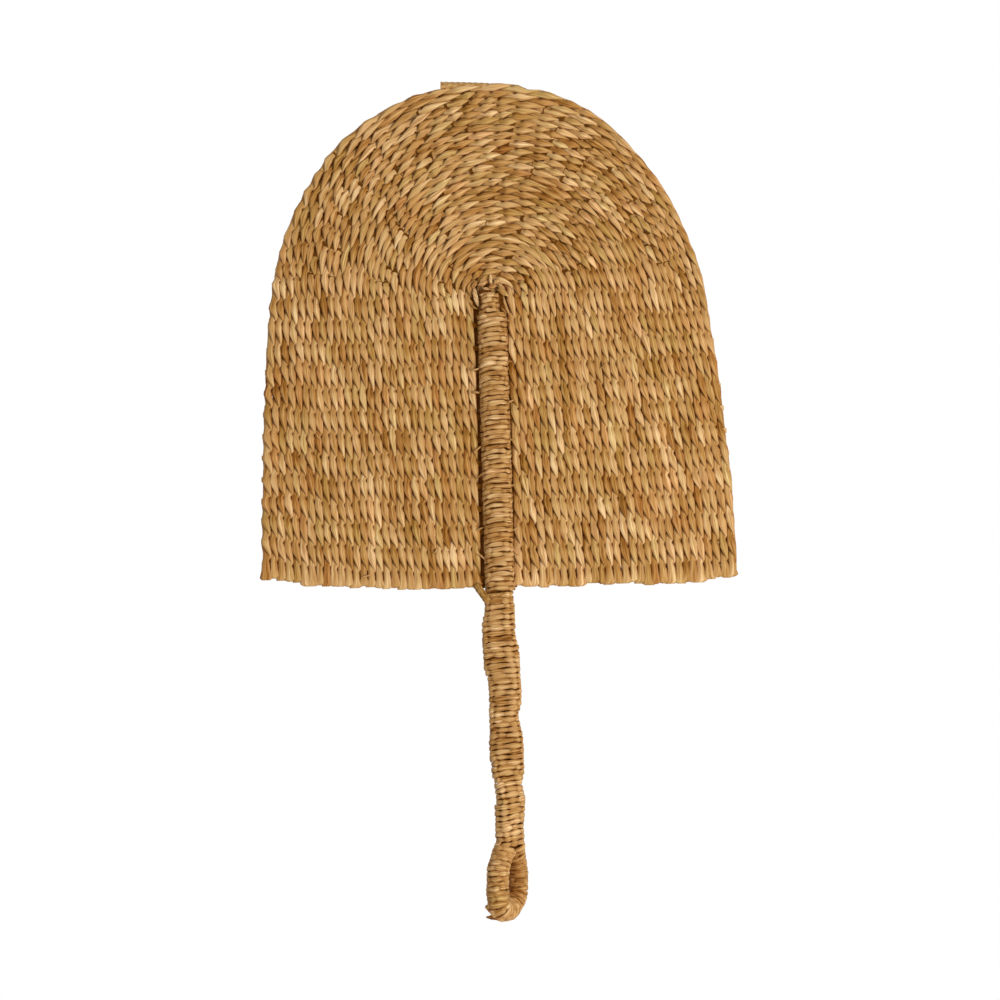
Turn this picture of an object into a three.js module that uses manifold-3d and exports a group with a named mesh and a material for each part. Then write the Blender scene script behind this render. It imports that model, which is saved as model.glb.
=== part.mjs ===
// A hand fan of seagrass: a twined panel, and a handle of one bent bundle wound with strands.
// Millimetres, +Z up. The front faces -Y, and the origin is the middle of the grip, where a hand holds it.
import * as THREE from "three";
import { mergeVertices } from "three/addons/utils/BufferGeometryUtils.js";
import Module from "manifold-3d";

// Gaps: between pieces that touch, between the turns of one strand, and beside the spine.
const CLEARANCE = 0.3;
const TURN_GAP = 0.5;
const SPINE_SIDE_GAP = 2;

// Rows: each is a pair of strands, one before the stakes and one behind, hooked together at the foot.
const ROWS = 29;
const STRAND_THICKNESS = 2.1;
const STRAND_ROUNDING = 0.8;

// Stakes: flat rods inside the rows, level below the hub and spread like rays above it.
const STAKE_WIDTH = 3;
const STAKE_THICKNESS = 2.4;
const STAKE_STUB = 0.8;
const CROSS_STAKES = 13;
const STAKE_PITCH = 13.8;
const FIRST_STAKE_DROP = 7.2;
const FOOT_MARGIN = 6;
const CROWN_STAKES = 7;
const BRANCH_WIDTH = 2.5;
const TWIG_WIDTH = 2.1;
const STAKE_ROOT_RADIUS = 10;
const FIRST_SPLIT_RADIUS = 32;
const SECOND_SPLIT_RADIUS = 68;
const SPLIT_STAGGER = 14;
const TWIG_SETBACK = 1;

// Rim: how far it reaches at the hub's level, how much wider the foot is, how far the corner lifts, and
// the lengths of the curve handles at the shoulder and at the crown.
const HUB_RISE = 5;
const CROWN_RISE = 124;
const LEFT_REACH = 131.2;
const LEFT_FLARE = 9.7;
const LEFT_FOOT_LIFT = 11.8;
const LEFT_SHOULDER = 48.4;
const LEFT_CROWN = 88.9;
const RIGHT_REACH = 127.4;
const RIGHT_FLARE = 15.2;
const RIGHT_FOOT_LIFT = 3.6;
const RIGHT_SHOULDER = 50;
const RIGHT_CROWN = 78.3;

// Handle: one bundle bent double, its legs side by side up the panel, its bend the hanging loop.
const SPINE_LEG_WIDTH = 5.9;
const SPINE_LEG_DEPTH = 4.6;
const GRIP_LEG_WIDTH = 7.2;
const GRIP_LEG_DEPTH = 6.4;
const LOOP_LEG_DIAMETER = 7.2;
const LEG_GAP = 0.5;
const LEG_SWELL_LENGTH = 12;
const LEFT_LEG_DROP = 0.3;
const GRIP_LENGTH = 151;
const LOOP_LENGTH = 48;
const LOOP_SPREAD = 22;
const LOOP_OPENING_LENGTH = 18;
const LOOP_TURN_DEGREES = 55;
const TURN_LENGTH = 48;
const TURN_END_ABOVE_NECK = 8;
const GRIP_WRAP_PAST_NECK = 2;

// Wound strands: flat, with rounded edges.
const WRAP_THICKNESS = 2;
const WRAP_ROUNDING = 0.5;
const SPINE_TURNS_PER_STAKE = 2;
const SPINE_TURNS = 24;
const GRIP_TURNS = 24;
const LOOP_TURNS = 24;
const LOOP_STRAND_WIDTH = 2.1;
const TIE_TURNS = 1.6;
const TIE_WIDTH = 2.8;
const TIE_DROP = 1.5;
const TIE_TAIL_REACH = 7;
const TIE_TAIL_RISE = 5;

// Facets: sides of a leg and of a turn round it, steps of the rows' arcs and sides, and the bends' steps.
const LEG_SIDES = 12;
const CROWN_STEPS = 6;
const SIDE_STEPS = [1, 0.45, 0];
const HOOK_ANGLES = [Math.PI / 3, (2 * Math.PI) / 3];
const STAKE_STEPS = [0, 1 / 3, 2 / 3];
const TURN_STEPS = 8;
const LOOP_LEG_STEPS = 5;
const BEND_STEPS = 12;

const ROUND_HANDLE = 0.5523;
const FOOT_CURVE = 2.5;
const STRAW_COLOURS = [0xb3844f, 0xa97b46, 0xbd9058, 0xb08a55];
const CORE_COLOUR = 0x9a6e3c;

// Levels along the handle, worked out from the sizes above.
const FOOT_DROP = FIRST_STAKE_DROP + (CROSS_STAKES - 1) * STAKE_PITCH + FOOT_MARGIN;
const FOOT_Z = GRIP_LENGTH / 2;
const NECK_Z = -GRIP_LENGTH / 2;
const HUB_Z = FOOT_Z + FOOT_DROP;
const BEND_RADIUS = LOOP_SPREAD / 2;
const WRAP_REACH = CLEARANCE + WRAP_THICKNESS;
const BEND_Z = NECK_Z - LOOP_LENGTH + LOOP_LEG_DIAMETER / 2 + WRAP_REACH + BEND_RADIUS;
const TURN_END_Z = NECK_Z + TURN_END_ABOVE_NECK;
const SPINE_STRAND_SPAN = STAKE_PITCH - STAKE_WIDTH - 2 * CLEARANCE + TURN_GAP;
const SPINE_STRAND_WIDTH = SPINE_STRAND_SPAN / SPINE_TURNS_PER_STAKE - TURN_GAP;
const FIRST_TURN_DROP = FIRST_STAKE_DROP + STAKE_WIDTH / 2 + CLEARANCE + SPINE_STRAND_WIDTH / 2;
const RIGHT_LEG_DROP = FIRST_TURN_DROP + (SPINE_STRAND_WIDTH + TURN_GAP) / 2;

// Depths: the panel lies behind the handle's axis, so that the stakes pass behind the legs.
const PANEL_Y = SPINE_LEG_DEPTH / 2 + CLEARANCE + STAKE_THICKNESS / 2;
const STRAND_INNER = STAKE_THICKNESS / 2 + CLEARANCE;
const STRAND_OUTER = STRAND_INNER + STRAND_THICKNESS;
const SPINE_HALF_WIDTH = LEG_GAP / 2 + SPINE_LEG_WIDTH + WRAP_REACH;
const INNER_HALF_WIDTH = SPINE_HALF_WIDTH + SPINE_SIDE_GAP;

const LEFT = {
  sign: -1,
  reach: LEFT_REACH,
  flare: LEFT_FLARE,
  lift: LEFT_FOOT_LIFT,
  shoulder: LEFT_SHOULDER,
  crown: LEFT_CROWN,
};
const RIGHT = {
  sign: 1,
  reach: RIGHT_REACH,
  flare: RIGHT_FLARE,
  lift: RIGHT_FOOT_LIFT,
  shoulder: RIGHT_SHOULDER,
  crown: RIGHT_CROWN,
};

const { lerp, smoothstep, degToRad } = THREE.MathUtils;
const wasm = await Module();
wasm.setup();

// A closed skin over a row of like sections, either capped at both ends or joined end to end.
function loft(sections, joined) {
  const sides = sections[0].length;
  const spans = joined ? sections.length : sections.length - 1;
  const faces = [];
  for (let i = 0; i < spans; i += 1) {
    const here = i * sides;
    const next = ((i + 1) % sections.length) * sides;
    for (let k = 0; k < sides; k += 1) {
      const after = (k + 1) % sides;
      faces.push([here + k, here + after, next + after]);
      faces.push([here + k, next + after, next + k]);
    }
  }
  if (!joined) {
    const last = (sections.length - 1) * sides;
    for (let k = 1; k < sides - 1; k += 1) {
      faces.push([0, k + 1, k]);
      faces.push([last, last + k, last + k + 1]);
    }
  }
  const points = sections.flat();
  if (signedVolume(points, faces) < 0) {
    faces.forEach((face) => face.reverse());
  }
  const geometry = new THREE.BufferGeometry();
  geometry.setFromPoints(points);
  geometry.setIndex(faces.flat());
  geometry.computeVertexNormals();
  return geometry;
}

// Six times the volume inside a set of faces, negative where they point inwards.
function signedVolume(points, faces) {
  const cross = new THREE.Vector3();
  let total = 0;
  for (const [a, b, c] of faces) {
    total += points[a].dot(cross.crossVectors(points[b], points[c]));
  }
  return total;
}

// How far down the foot's edge lies, at a share "out" of the way from the spine to the rim.
function footDrop(half, out) {
  return FOOT_DROP - half.lift * out ** FOOT_CURVE;
}

// A place in the panel's plane below the hub: "down" is 0 at the hub's level and 1 at the foot.
function sidePoint(half, out, down) {
  const bow = 1 - (1 - down) ** 2;
  const x = lerp(INNER_HALF_WIDTH, half.reach, out) + half.flare * out * bow;
  return new THREE.Vector2(half.sign * x, HUB_Z - footDrop(half, out) * down);
}

// A place in the panel's plane above the hub: "turn" is 0 at the hub's level and 1 at the top.
function crownPoint(half, out, turn) {
  const reach = lerp(INNER_HALF_WIDTH, half.reach, out);
  const rise = lerp(HUB_RISE, CROWN_RISE, out);
  const shoulder = lerp(HUB_RISE * ROUND_HANDLE, half.shoulder, out);
  const crown = lerp(INNER_HALF_WIDTH * ROUND_HANDLE, half.crown, out);
  const lean = (2 * half.flare * out) / footDrop(half, out);
  const arc = new THREE.CubicBezierCurve(
    new THREE.Vector2(half.sign * reach, HUB_Z),
    new THREE.Vector2(half.sign * (reach - lean * shoulder), HUB_Z + shoulder),
    new THREE.Vector2(half.sign * crown, HUB_Z + rise),
    new THREE.Vector2(0, HUB_Z + rise),
  );
  return arc.getPoint(turn);
}

// The stations of a row, from the left foot over the crown to the right foot, each a function of "out".
function rowStations() {
  const hookShare = (half, out) => 1 - STRAND_OUTER / footDrop(half, out);
  const side = (half) => SIDE_STEPS.map(
    (step) => (out) => sidePoint(half, out, step * hookShare(half, out)),
  );
  const arc = (half) => Array.from(
    { length: CROWN_STEPS - 1 },
    (_, i) => (out) => crownPoint(half, out, (i + 1) / CROWN_STEPS),
  );
  const top = (out) => crownPoint(LEFT, out, 1);
  const rightwards = [...side(RIGHT), ...arc(RIGHT)].reverse();
  return [...side(LEFT), ...arc(LEFT), top, ...rightwards];
}

// One twined row: front strand, hook at the right foot, back strand, hook at the left foot.
function weftRow(index) {
  const rowWidth = (CROWN_RISE - HUB_RISE) / ROWS;
  const edge = CLEARANCE / 2 / rowWidth;
  const rounding = STRAND_ROUNDING / rowWidth;
  const near = (index + edge) / ROWS;
  const far = (index + 1 - edge) / ROWS;
  const corners = [
    [near, STRAND_INNER],
    [far, STRAND_INNER],
    [far - rounding / ROWS, STRAND_OUTER],
    [near + rounding / ROWS, STRAND_OUTER],
  ];
  const section = (station, angle) => corners.map(([out, depth]) => {
    const place = station(out);
    const y = PANEL_Y - depth * Math.cos(angle);
    return new THREE.Vector3(place.x, y, place.y - depth * Math.sin(angle));
  });
  const stations = rowStations();
  const backwards = [...stations].reverse();
  const sections = [
    ...stations.map((station) => section(station, 0)),
    ...HOOK_ANGLES.map((angle) => section(backwards[0], angle)),
    ...backwards.map((station) => section(station, Math.PI)),
    ...[...HOOK_ANGLES].reverse().map((angle) => section(stations[0], angle)),
  ];
  return loft(sections, true);
}

// One level stake, from a stub at the left rim, behind the handle's legs, to a stub at the right rim.
function crossStake(index) {
  const down = (FIRST_STAKE_DROP + index * STAKE_PITCH) / FOOT_DROP;
  const places = [LEFT, RIGHT].map((half) => {
    const steps = [...STAKE_STEPS, 1 + STAKE_STUB / half.reach];
    return steps.map((out) => sidePoint(half, out, down));
  });
  const corners = [[-1, -1], [1, -1], [1, 1], [-1, 1]];
  const sections = [...places[0].reverse(), ...places[1]].map((place) => corners.map(([up, back]) => {
    const y = PANEL_Y + (back * STAKE_THICKNESS) / 2;
    return new THREE.Vector3(place.x, y, place.y + (up * STAKE_WIDTH) / 2);
  }));
  return loft(sections, false);
}

// A place in the crown: "way" runs from 0 at the left over 1 at the top to 2 at the right.
function rayPoint(way, radius) {
  const out = (radius - HUB_RISE) / (CROWN_RISE - HUB_RISE);
  return way <= 1 ? crownPoint(LEFT, out, way) : crownPoint(RIGHT, out, 2 - way);
}

// A flat strip of a stake between two places in the panel's plane, as a solid.
function stakeStrip(from, to, width) {
  const along = to.clone().sub(from).normalize();
  const across = new THREE.Vector2(-along.y, along.x).multiplyScalar(width / 2);
  const overlap = along.multiplyScalar(width / 4);
  const start = from.clone().sub(overlap);
  const end = to.clone().add(overlap);
  const outline = new THREE.Shape([
    start.clone().sub(across),
    end.clone().sub(across),
    end.clone().add(across),
    start.clone().add(across),
  ]);
  const strip = new THREE.ExtrudeGeometry(outline, { depth: STAKE_THICKNESS, bevelEnabled: false });
  strip.rotateX(Math.PI / 2);
  strip.translate(0, PANEL_Y + STAKE_THICKNESS / 2, 0);
  return toSolid(strip);
}

// One ray of the crown: a stake that opens out into two branches, and each of those into two twigs.
function crownStake(index) {
  const spread = 2 / CROWN_STAKES;
  const stagger = index % 2 === 0 ? 0 : SPLIT_STAGGER;
  const firstSplit = FIRST_SPLIT_RADIUS + stagger;
  const secondSplit = SECOND_SPLIT_RADIUS + stagger;
  const trunkWay = (index + 0.5) * spread;
  const root = rayPoint(trunkWay, STAKE_ROOT_RADIUS);
  const trunkEnd = rayPoint(trunkWay, firstSplit);
  let solid = stakeStrip(root, trunkEnd, STAKE_WIDTH);
  for (const branchSide of [-1, 1]) {
    const branchWay = trunkWay + (branchSide * spread) / 4;
    const branchEnd = rayPoint(branchWay, secondSplit);
    solid = solid.add(stakeStrip(trunkEnd, branchEnd, BRANCH_WIDTH));
    for (const twigSide of [-1, 1]) {
      const twigEnd = rayPoint(branchWay + (twigSide * spread) / 8, CROWN_RISE - TWIG_SETBACK);
      solid = solid.add(stakeStrip(branchEnd, twigEnd, TWIG_WIDTH));
    }
  }
  return toGeometry(solid);
}

function toSolid(geometry) {
  geometry.deleteAttribute("normal");
  geometry.deleteAttribute("uv");
  const merged = mergeVertices(geometry);
  return new wasm.Manifold(new wasm.Mesh({
    numProp: 3,
    vertProperties: Float32Array.from(merged.attributes.position.array),
    triVerts: Uint32Array.from(merged.index.array),
  }));
}

function toGeometry(solid) {
  const mesh = solid.getMesh();
  const geometry = new THREE.BufferGeometry();
  geometry.setAttribute("position", new THREE.BufferAttribute(mesh.vertProperties, 3));
  geometry.setIndex(new THREE.BufferAttribute(mesh.triVerts, 1));
  geometry.computeVertexNormals();
  return geometry;
}

// The handle at a level: its turn about its axis, the legs' spread from centre to centre and half sizes.
function handleAt(z) {
  const grip = 1 - smoothstep(z, FOOT_Z - LEG_SWELL_LENGTH, FOOT_Z);
  const loop = 1 - smoothstep(z, NECK_Z - LOOP_OPENING_LENGTH, NECK_Z);
  const turned = 1 - smoothstep(z, TURN_END_Z, TURN_END_Z + TURN_LENGTH);
  const width = lerp(lerp(SPINE_LEG_WIDTH, GRIP_LEG_WIDTH, grip), LOOP_LEG_DIAMETER, loop);
  const depth = lerp(lerp(SPINE_LEG_DEPTH, GRIP_LEG_DEPTH, grip), LOOP_LEG_DIAMETER, loop);
  return {
    turn: degToRad(LOOP_TURN_DEGREES) * turned,
    spread: lerp(width + LEG_GAP, LOOP_SPREAD, loop),
    halfWidth: width / 2,
    halfDepth: depth / 2,
  };
}

// The bundle's centre line, sizes and turn at a level of one leg, or at an angle of the bend.
function bundleStation(across, z) {
  const { turn, halfWidth, halfDepth } = handleAt(z);
  return {
    centre: new THREE.Vector3(across * Math.cos(turn), across * Math.sin(turn), z),
    back: new THREE.Vector3(-Math.sin(turn), Math.cos(turn), 0),
    halfWidth,
    halfDepth,
  };
}

function legStation(side, z) {
  return bundleStation((side * handleAt(z).spread) / 2, z);
}

function bendStation(angle) {
  return bundleStation(-Math.cos(angle) * BEND_RADIUS, BEND_Z - Math.sin(angle) * BEND_RADIUS);
}

function steps(from, to, count) {
  return Array.from({ length: count }, (_, i) => lerp(from, to, i / count));
}

// Stations along the bent bundle, from the left leg's top round the bend to the right leg's top.
function bundleStations(leftTop, rightTop, levels, legSteps, bendSteps) {
  const opened = NECK_Z - LOOP_OPENING_LENGTH;
  const leg = [...levels, ...steps(NECK_Z, opened, legSteps), opened];
  const left = [leftTop, ...leg].map((z) => legStation(-1, z));
  const bend = [...steps(0, Math.PI, bendSteps), Math.PI].map((angle) => bendStation(angle));
  const right = [...leg.reverse(), rightTop].map((z) => legStation(1, z));
  return [...left, ...bend, ...right];
}

// The direction of the bundle at each station, from its neighbours, and the direction across it.
function withDirections(stations) {
  return stations.map((station, i) => {
    const before = stations[Math.max(i - 1, 0)].centre;
    const after = stations[Math.min(i + 1, stations.length - 1)].centre;
    const along = after.clone().sub(before).normalize();
    const across = new THREE.Vector3().crossVectors(station.back, along).normalize();
    return { ...station, across };
  });
}

// Angle of a corner of the legs' many-sided section, whose flats lie at the half width and half depth.
function cornerAngle(step) {
  return (2 * Math.PI * (step + 0.5)) / LEG_SIDES;
}

function cornerShape(step, halfWidth, halfDepth) {
  const outside = 1 / Math.cos(Math.PI / LEG_SIDES);
  const angle = cornerAngle(step);
  return [halfWidth * outside * Math.cos(angle), halfDepth * outside * Math.sin(angle)];
}

function handleCore() {
  const turnLevels = steps(TURN_END_Z + TURN_LENGTH, TURN_END_Z, TURN_STEPS);
  const levels = [FOOT_Z, FOOT_Z - LEG_SWELL_LENGTH / 2, FOOT_Z - LEG_SWELL_LENGTH, ...turnLevels, TURN_END_Z];
  const stations = bundleStations(
    HUB_Z - LEFT_LEG_DROP,
    HUB_Z - RIGHT_LEG_DROP,
    levels,
    LOOP_LEG_STEPS,
    BEND_STEPS,
  );
  const sections = withDirections(stations).map((station) => Array.from({ length: LEG_SIDES }, (_, k) => {
    const [wide, deep] = cornerShape(k, station.halfWidth, station.halfDepth);
    return station.centre.clone().addScaledVector(station.across, wide).addScaledVector(station.back, deep);
  }));
  return loft(sections, false);
}

// The flat section of a wound strand: pairs of a shift along the handle and a height above mid-thickness.
function strandSection(width) {
  const half = width / 2;
  const face = half - WRAP_ROUNDING;
  const height = WRAP_THICKNESS / 2;
  return [[-half, -height], [half, -height], [face, height], [-face, height]];
}

// A point of a turn round both legs: "step" counts the section's corners and "height" lifts it off them.
// "tuck" moves the back of the turn behind the stakes, and "legs" is 1 where it binds the left leg alone.
function turnPoint(z, step, height, tuck, legs) {
  const { turn, spread, halfWidth, halfDepth } = handleAt(z);
  const off = CLEARANCE + WRAP_THICKNESS / 2 + height;
  const [wide, deep] = cornerShape(step, halfWidth + off, halfDepth + off);
  const side = wide > 0 && legs > 1 ? 1 : -1;
  const across = (side * spread) / 2 + wide;
  const back = deep + (deep > 0 ? tuck : 0);
  return new THREE.Vector3(
    across * Math.cos(turn) - back * Math.sin(turn),
    across * Math.sin(turn) + back * Math.cos(turn),
    z,
  );
}

// The least distance between points of a wound strand that lie over half a turn apart.
function leastGap(sections, stepsPerTurn) {
  let least = Infinity;
  sections.forEach((section, i) => {
    for (const other of sections.slice(i + Math.ceil(stepsPerTurn / 2) + 1)) {
      for (const point of section) {
        for (const otherPoint of other) {
          least = Math.min(least, point.distanceTo(otherPoint));
        }
      }
    }
  });
  return least;
}

function woundStrand(name, sections) {
  console.log(`${name}: least gap to itself ${leastGap(sections, LEG_SIDES).toFixed(2)} mm`);
  return loft(sections, false);
}

// The levels of the spine's turns: one over the first stake, then as many as fit between stakes.
function spineLevels() {
  const overFirstStake = HUB_Z - 2 * FIRST_STAKE_DROP + FIRST_TURN_DROP;
  const levels = [overFirstStake];
  for (let turn = 0; turn < SPINE_TURNS - 1; turn += 1) {
    const stake = Math.floor(turn / SPINE_TURNS_PER_STAKE);
    const place = turn % SPINE_TURNS_PER_STAKE;
    const drop = FIRST_TURN_DROP + stake * STAKE_PITCH + place * (SPINE_STRAND_WIDTH + TURN_GAP);
    levels.push(HUB_Z - drop);
  }
  return levels;
}

// The spine's strand binds the legs to the stakes. It runs level over the front and climbs behind the
// stakes, and its first turns bind the left leg alone, because the right leg ends lower.
function spineWrap() {
  const levels = spineLevels();
  const tuck = PANEL_Y + STAKE_THICKNESS / 2 - SPINE_LEG_DEPTH / 2;
  const narrowAbove = HUB_Z - RIGHT_LEG_DROP;
  const frontLeft = LEG_SIDES / 2;
  const backLeft = LEG_SIDES / 4;
  const sections = [];
  for (let i = 0; i < levels.length * LEG_SIDES; i += 1) {
    const step = (frontLeft + i) % LEG_SIDES;
    const turn = Math.floor(i / LEG_SIDES);
    const climbed = step >= backLeft && step < frontLeft;
    const centre = levels[Math.min(climbed ? turn + 1 : turn, levels.length - 1)];
    const legs = levels[turn] > narrowAbove ? 1 : 2;
    sections.push(strandSection(SPINE_STRAND_WIDTH).map(
      ([shift, height]) => turnPoint(centre + shift, step, height, tuck, legs),
    ));
  }
  return woundStrand("spine_wrap", sections.slice(0, 1 - LEG_SIDES / 2));
}

// The grip's strand climbs evenly round both legs from below the neck's tie to the loop.
function gripWrap() {
  const top = FOOT_Z - TIE_DROP - TIE_TURNS * (TIE_WIDTH + TURN_GAP) - TIE_WIDTH / 2 - TURN_GAP;
  const pitch = (top - NECK_Z + GRIP_WRAP_PAST_NECK) / (GRIP_TURNS + 1);
  const width = pitch - TURN_GAP;
  const sections = [];
  for (let i = 0; i <= GRIP_TURNS * LEG_SIDES; i += 1) {
    const centre = top - width / 2 - (pitch * i) / LEG_SIDES;
    sections.push(strandSection(width).map(
      ([shift, height]) => turnPoint(centre + shift, i % LEG_SIDES, height, 0, 2),
    ));
  }
  return woundStrand("grip_wrap", sections);
}

// The bent part of the bundle by length, from where its legs are far enough apart to be wound singly.
function loopPath() {
  const apart = LOOP_LEG_DIAMETER + 2 * WRAP_REACH + TURN_GAP;
  const fine = bundleStations(NECK_Z, NECK_Z, [], LOOP_LEG_STEPS * 8, BEND_STEPS * 4);
  const stations = withDirections(fine).filter(
    ({ centre }) => centre.z < BEND_Z || handleAt(centre.z).spread > apart,
  );
  let length = 0;
  return stations.map((station, i) => {
    length += i === 0 ? 0 : station.centre.distanceTo(stations[i - 1].centre);
    return { ...station, length };
  });
}

// A point round the bent bundle: "along" is a length on its path, and "height" lifts it off the bundle.
function loopPoint(path, along, step, height) {
  const last = path.length - 2;
  const found = path.findIndex((_, i) => i === last || path[i + 1].length > along);
  const here = path[found];
  const next = path[found + 1];
  const share = (along - here.length) / (next.length - here.length);
  const mix = (key) => here[key].clone().lerp(next[key], share);
  const off = CLEARANCE + WRAP_THICKNESS / 2 + height;
  const [wide, deep] = cornerShape(
    step,
    lerp(here.halfWidth, next.halfWidth, share) + off,
    lerp(here.halfDepth, next.halfDepth, share) + off,
  );
  const back = mix("back").normalize();
  const across = mix("across").normalize();
  return mix("centre").addScaledVector(across, wide).addScaledVector(back, deep);
}

// The loop's strand winds the single bundle from the left leg, round the bend and up the right leg.
function loopWrap() {
  const path = loopPath();
  const run = path[path.length - 1].length - LOOP_STRAND_WIDTH;
  const sections = [];
  for (let i = 0; i <= LOOP_TURNS * LEG_SIDES; i += 1) {
    const centre = LOOP_STRAND_WIDTH / 2 + (run * i) / (LOOP_TURNS * LEG_SIDES);
    sections.push(strandSection(LOOP_STRAND_WIDTH).map(
      ([shift, height]) => loopPoint(path, centre + shift, i % LEG_SIDES, height),
    ));
  }
  return woundStrand("loop_wrap", sections);
}

// The neck's tie comes down from the front of the left rows, turns round both legs and ends at the right.
function neckTie() {
  const section = strandSection(TIE_WIDTH);
  const start = FOOT_Z - TIE_DROP;
  const pitch = TIE_WIDTH + TURN_GAP;
  const first = (3 * LEG_SIDES) / 4 - 1;
  const tailY = PANEL_Y - STRAND_OUTER - WRAP_REACH + WRAP_THICKNESS / 2;
  const tail = section.map(([shift, height]) => new THREE.Vector3(
    -INNER_HALF_WIDTH - TIE_TAIL_REACH,
    tailY - height,
    start + TIE_TAIL_RISE + shift,
  ));
  const sections = [tail];
  for (let i = 0; i <= TIE_TURNS * LEG_SIDES; i += 1) {
    const centre = start - (pitch * i) / LEG_SIDES;
    sections.push(section.map(
      ([shift, height]) => turnPoint(centre + shift, (first + i) % LEG_SIDES, height, 0, 2),
    ));
  }
  return woundStrand("neck_tie", sections);
}

function straw(index) {
  const colour = STRAW_COLOURS[index % STRAW_COLOURS.length];
  return new THREE.MeshStandardMaterial({ color: colour, roughness: 0.75, metalness: 0 });
}

const fan = new THREE.Group();

function addPiece(name, geometry, material) {
  const piece = new THREE.Mesh(geometry, material);
  piece.name = name;
  fan.add(piece);
}

for (let i = 0; i < ROWS; i += 1) {
  addPiece(`weft_row_${String(i + 1).padStart(2, "0")}`, weftRow(i), straw(i));
}
for (let i = 0; i < CROSS_STAKES; i += 1) {
  addPiece(`cross_stake_${String(i + 1).padStart(2, "0")}`, crossStake(i), straw(i));
}
for (let i = 0; i < CROWN_STAKES; i += 1) {
  addPiece(`crown_stake_${i + 1}`, crownStake(i), straw(i));
}
const coreMaterial = new THREE.MeshStandardMaterial({ color: CORE_COLOUR, roughness: 0.8, metalness: 0 });
addPiece("handle_core", handleCore(), coreMaterial);
addPiece("spine_wrap", spineWrap(), straw(0));
addPiece("grip_wrap", gripWrap(), straw(1));
addPiece("loop_wrap", loopWrap(), straw(2));
addPiece("neck_tie", neckTie(), straw(3));

export default fan;
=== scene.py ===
"""A hand fan of twined seagrass with a bound spine, a wound grip and a hanging loop.

Sizes are written in millimetres and scaled to metres where meshes are made. +Z runs along the handle
towards the crown, and the front faces -Y.
"""

import logging
import math
import random
from bisect import bisect_right
from dataclasses import dataclass, field
from enum import Enum, IntEnum
from typing import Callable, NamedTuple, Sequence, Union

import bpy
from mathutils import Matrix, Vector


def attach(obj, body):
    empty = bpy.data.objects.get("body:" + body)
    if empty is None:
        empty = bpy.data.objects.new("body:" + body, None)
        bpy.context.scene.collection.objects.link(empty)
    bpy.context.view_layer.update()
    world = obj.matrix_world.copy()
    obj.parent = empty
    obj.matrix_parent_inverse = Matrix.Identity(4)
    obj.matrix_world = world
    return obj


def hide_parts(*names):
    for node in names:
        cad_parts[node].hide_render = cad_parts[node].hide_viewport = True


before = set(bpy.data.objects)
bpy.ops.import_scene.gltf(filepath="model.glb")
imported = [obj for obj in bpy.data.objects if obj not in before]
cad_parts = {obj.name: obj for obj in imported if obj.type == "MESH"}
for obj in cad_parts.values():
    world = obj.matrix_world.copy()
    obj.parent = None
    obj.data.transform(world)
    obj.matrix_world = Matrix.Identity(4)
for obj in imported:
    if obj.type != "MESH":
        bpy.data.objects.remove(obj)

LOG = logging.getLogger("seagrass_fan")
MM = 0.001
BODY = "root"

Colour = tuple[int, int, int]
Number = Union[int, float]
Span = tuple[float, float]
Triple = tuple[float, float, float]
Tones = tuple[tuple[float, Colour], ...]

FRONT = Vector((0, -1, 0))
WHITE: Colour = (255, 255, 255)
TAPER_POWER = 2.5


class Half(Enum):
    """A half of the panel, by the sign of its x."""

    LEFT = -1
    RIGHT = 1


class Seed(IntEnum):
    """Steps between the seeds of the panel's own random draws."""

    STAKE = 31
    ROW = 41
    FLIP = 59
    SWELL = 73
    PAIR = 97


class Slot(Enum):
    """The record's material slots, named alongside the dressed pieces."""

    WEFT = "weft_seagrass"
    CORE = "core_seagrass"
    WRAP = "wrap_seagrass"


def linear(colour: Colour) -> tuple[float, float, float, float]:
    """Turns a colour as seen on a screen into the shader's linear values.

    Args:
        colour: Red, green and blue, 0 to 255.

    Returns:
        Red, green, blue and alpha, 0 to 1.
    """
    parts = [part / 255 for part in colour]
    red, green, blue = (p / 12.92 if p <= 0.04045 else ((p + 0.055) / 1.055) ** 2.4 for p in parts)
    return red, green, blue, 1.0


def mix(low: float, high: float, share: float) -> float:
    """Returns the number that lies a share of the way from low to high."""
    return low + (high - low) * share


def clamp(value: float, low: float = 0.0, high: float = 1.0) -> float:
    """Returns a number held between low and high."""
    return min(max(value, low), high)


def smooth(value: float, low: float, high: float) -> float:
    """Returns 0 below low, 1 above high and a soft step between."""
    share = clamp((value - low) / (high - low))
    return share * share * (3 - 2 * share)


def lookup(keys: Sequence[float], values: Sequence[float], key: float) -> float:
    """Reads a value off a table by straight lines between its keys.

    Args:
        keys: Rising keys.
        values: One value for each key.
        key: The key to read at.

    Returns:
        The value there, held at the table's ends.
    """
    place = min(max(bisect_right(keys, key), 1), len(keys) - 1)
    span = keys[place] - keys[place - 1]
    share = clamp((key - keys[place - 1]) / span) if span else 0.0
    return mix(values[place - 1], values[place], share)


def lengths_along(places: Sequence[Vector]) -> list[float]:
    """Measures a path.

    Args:
        places: The path's places.

    Returns:
        The length up to each place.
    """
    lengths = [0.0]
    for before, after in zip(places, places[1:]):
        lengths.append(lengths[-1] + (after - before).length)
    return lengths


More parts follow.
